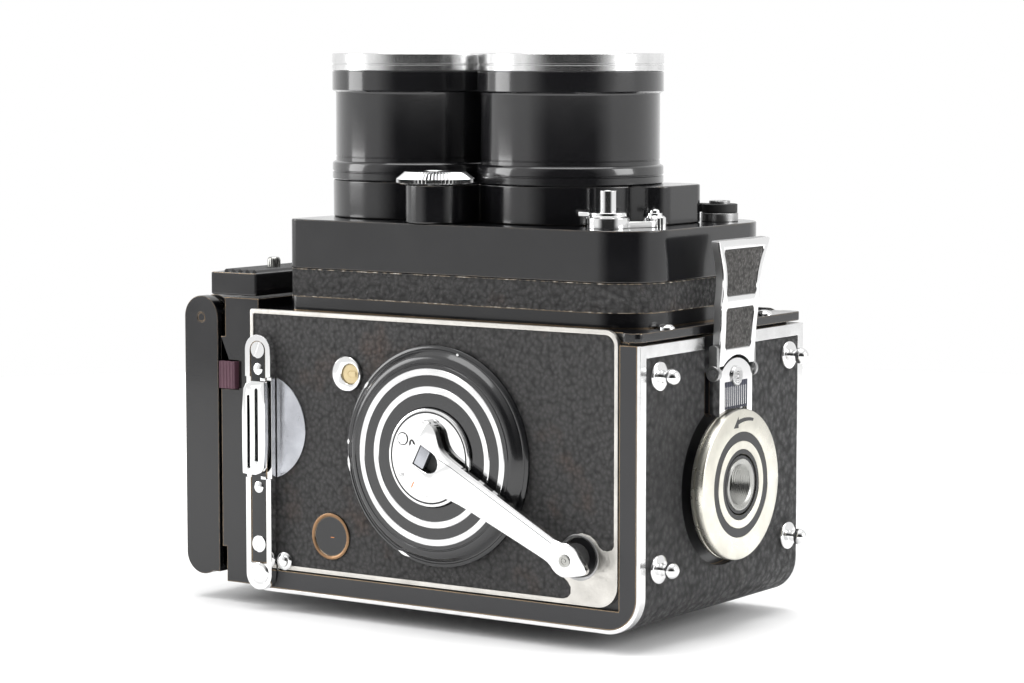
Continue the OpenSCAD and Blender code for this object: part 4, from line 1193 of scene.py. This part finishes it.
def front_loop(inset):
    """Outline of the front box: small corners at the hood end, large ones at the bottom end."""
    x0, x1, half = -64.2 + inset, 40.2 - inset, 31.7 - inset
    small, large = 3 - inset, 13 - inset
    path = []
    corners = [(x1, half, large), (x0, half, small), (x0, -half, small), (x1, -half, large)]
    for turn, (x, y, corner) in enumerate(corners):
        cx = x - corner if x > 0 else x + corner
        cy = y - corner if y > 0 else y + corner
        for step in range(13):
            angle = math.pi / 2 * (turn + step / 12)
            path.append((cx + corner * math.cos(angle), cy + corner * math.sin(angle)))
    return path


def hood_details(look):
    """Ribbed cover of the meter cell, with its zero knob."""
    section = []
    for step in range(61):
        share = step / 60
        wave = math.sin(math.tau * 5 * share - math.pi / 2)
        section.append((-85.05 + 11.5 * share, 84.55 + 0.4 * wave))
    section = [(-85.05, 83.25)] + section + [(-73.55, 83.25)]
    cell = bar("meter_cover", section, -31.8, 31.8, lambda x, z, y: (x, y, z), look["smoke"])
    teeth = 20
    knob = [(0, 84.6), (1.7, 84.6), (1.7, 86.6), (1.5, 87.1), (1.2, 87.35), (0, 87.4)]

    def ripple(angle, index):
        return 1 - (0.06 * (0.5 + 0.5 * math.cos(teeth * angle)) if index in (1, 2) else 0)

    zero = lathe("zero_knob", knob, (-79.5, -18, 0), UP, look["steel"], teeth * 4, ripple)
    put(joined("meter_cover_ribs", [cell, zero]), "chassis", "frosted", "meter_cell")


def release_details(look):
    """Serrated nut with its stud beside the release, and two screws on the front plate."""
    teeth = 18

    def ripple(angle, index):
        return 1 - (0.1 * (0.5 + 0.5 * math.cos(teeth * angle)) if index in (1, 2) else 0)

    nut = [(0, 98.35), (2.7, 98.35), (2.7, 100.5), (2.1, 101.0)]
    nut += [(1.3, 101.0), (1.2, 102.2), (0.8, 102.5), (0, 102.5)]
    made = lathe("release_nut", nut, (30.6, -9.8, 0), UP, look["chrome"], teeth * 6, ripple)
    put(made, "front", "chrome")
    heads = []
    for y in (-23, 23):
        dome = [(0, 75.42), (2.0, 75.42), (1.95, 75.8), (1.4, 76.35), (0.6, 76.6), (0, 76.62)]
        heads.append(lathe("dome", dome, (42.2, y, 0), UP, look["chrome"], 32))
    put(joined("front_plate_screws", heads), "chassis", "chrome")


FOCUS_CENTRE = (-13, 0, 44)


def focus_knob(look):
    """Knurled focusing knob with a ring of distance marks, on the far side."""
    teeth = 90
    far = -NEAR_SIDE
    profile = [(0, 26), (3, 26), (3, 38.4), (13.8, 38.4), (14, 38.6), (14, 41.2)]
    rim = len(profile)
    profile += [(15.7, 41.4), (16, 41.7), (16, 47.1), (15.6, 47.6), (14.6, 48)]
    profile += [(13.2, 48), (13.0, 47.7), (8.2, 47.7), (8.0, 48), (0, 48)]
    knurled = {rim, rim + 1, rim + 2}

    def ripple(angle, index):
        return 1 - (0.014 * (0.5 + 0.5 * math.cos(teeth * angle)) if index in knurled else 0)

    knob = lathe("focus_knob_turned", profile, FOCUS_CENTRE, far, look["chrome"], teeth * 4, ripple)
    put(knob, "focus_knob", "chrome", "focus_knob")
    place = plane_frame(FOCUS_CENTRE, (-1, 0, 0), far)
    marks = []
    for step in range(36):
        turn = math.tau * step / 36
        length = 1.9 if step % 3 == 0 else 1.0
        tick = place @ Matrix.Rotation(turn, 4, "Z")
        loop = [(-0.12, 12.6 - length), (0.12, 12.6 - length), (0.12, 12.6), (-0.12, 12.6)]
        marks.append(prism("tick", [loop], 47.69, 47.74, 0, tick, look["black_fill"]))
    put(joined("focus_scale_ticks", marks), "focus_knob", "black_paint")


# ---------- build ----------


def main():
    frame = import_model()
    make_camera()
    make_lights()
    make_floor()
    look = make_materials()
    finish_cad(frame["nodes"], look)
    barrel("taking_barrel", *TAKING, look["barrel"])
    barrel("viewing_barrel", *VIEWING, look["barrel"])
    rims = [bayonet_ring(*place, look["bright"]) for place in (TAKING, VIEWING)]
    put(joined("bayonet_rims", rims), "front", "chrome", "bayonet_rings")
    barrel_screws(look)
    make_lens_front(look)
    setting_wheel("aperture_wheel", -1, "aperture", look)
    setting_wheel("shutter_wheel", 1, "shutter_speed", look)
    crank_plate(look)
    crank_hub(look)
    crank_arm(look)
    crank_knob(look)
    tripod_disc(look)
    tripod_bush(look)
    feet(look)
    latch_lever(look)
    latch_bar_details(look)
    side_panels(look)
    side_fittings(look)
    strap_details(look)
    strap_loops(look)
    hood_button(look)
    rim_chips(look)
    front_skirt(look)
    hood_details(look)
    release_details(look)
    focus_knob(look)


main()
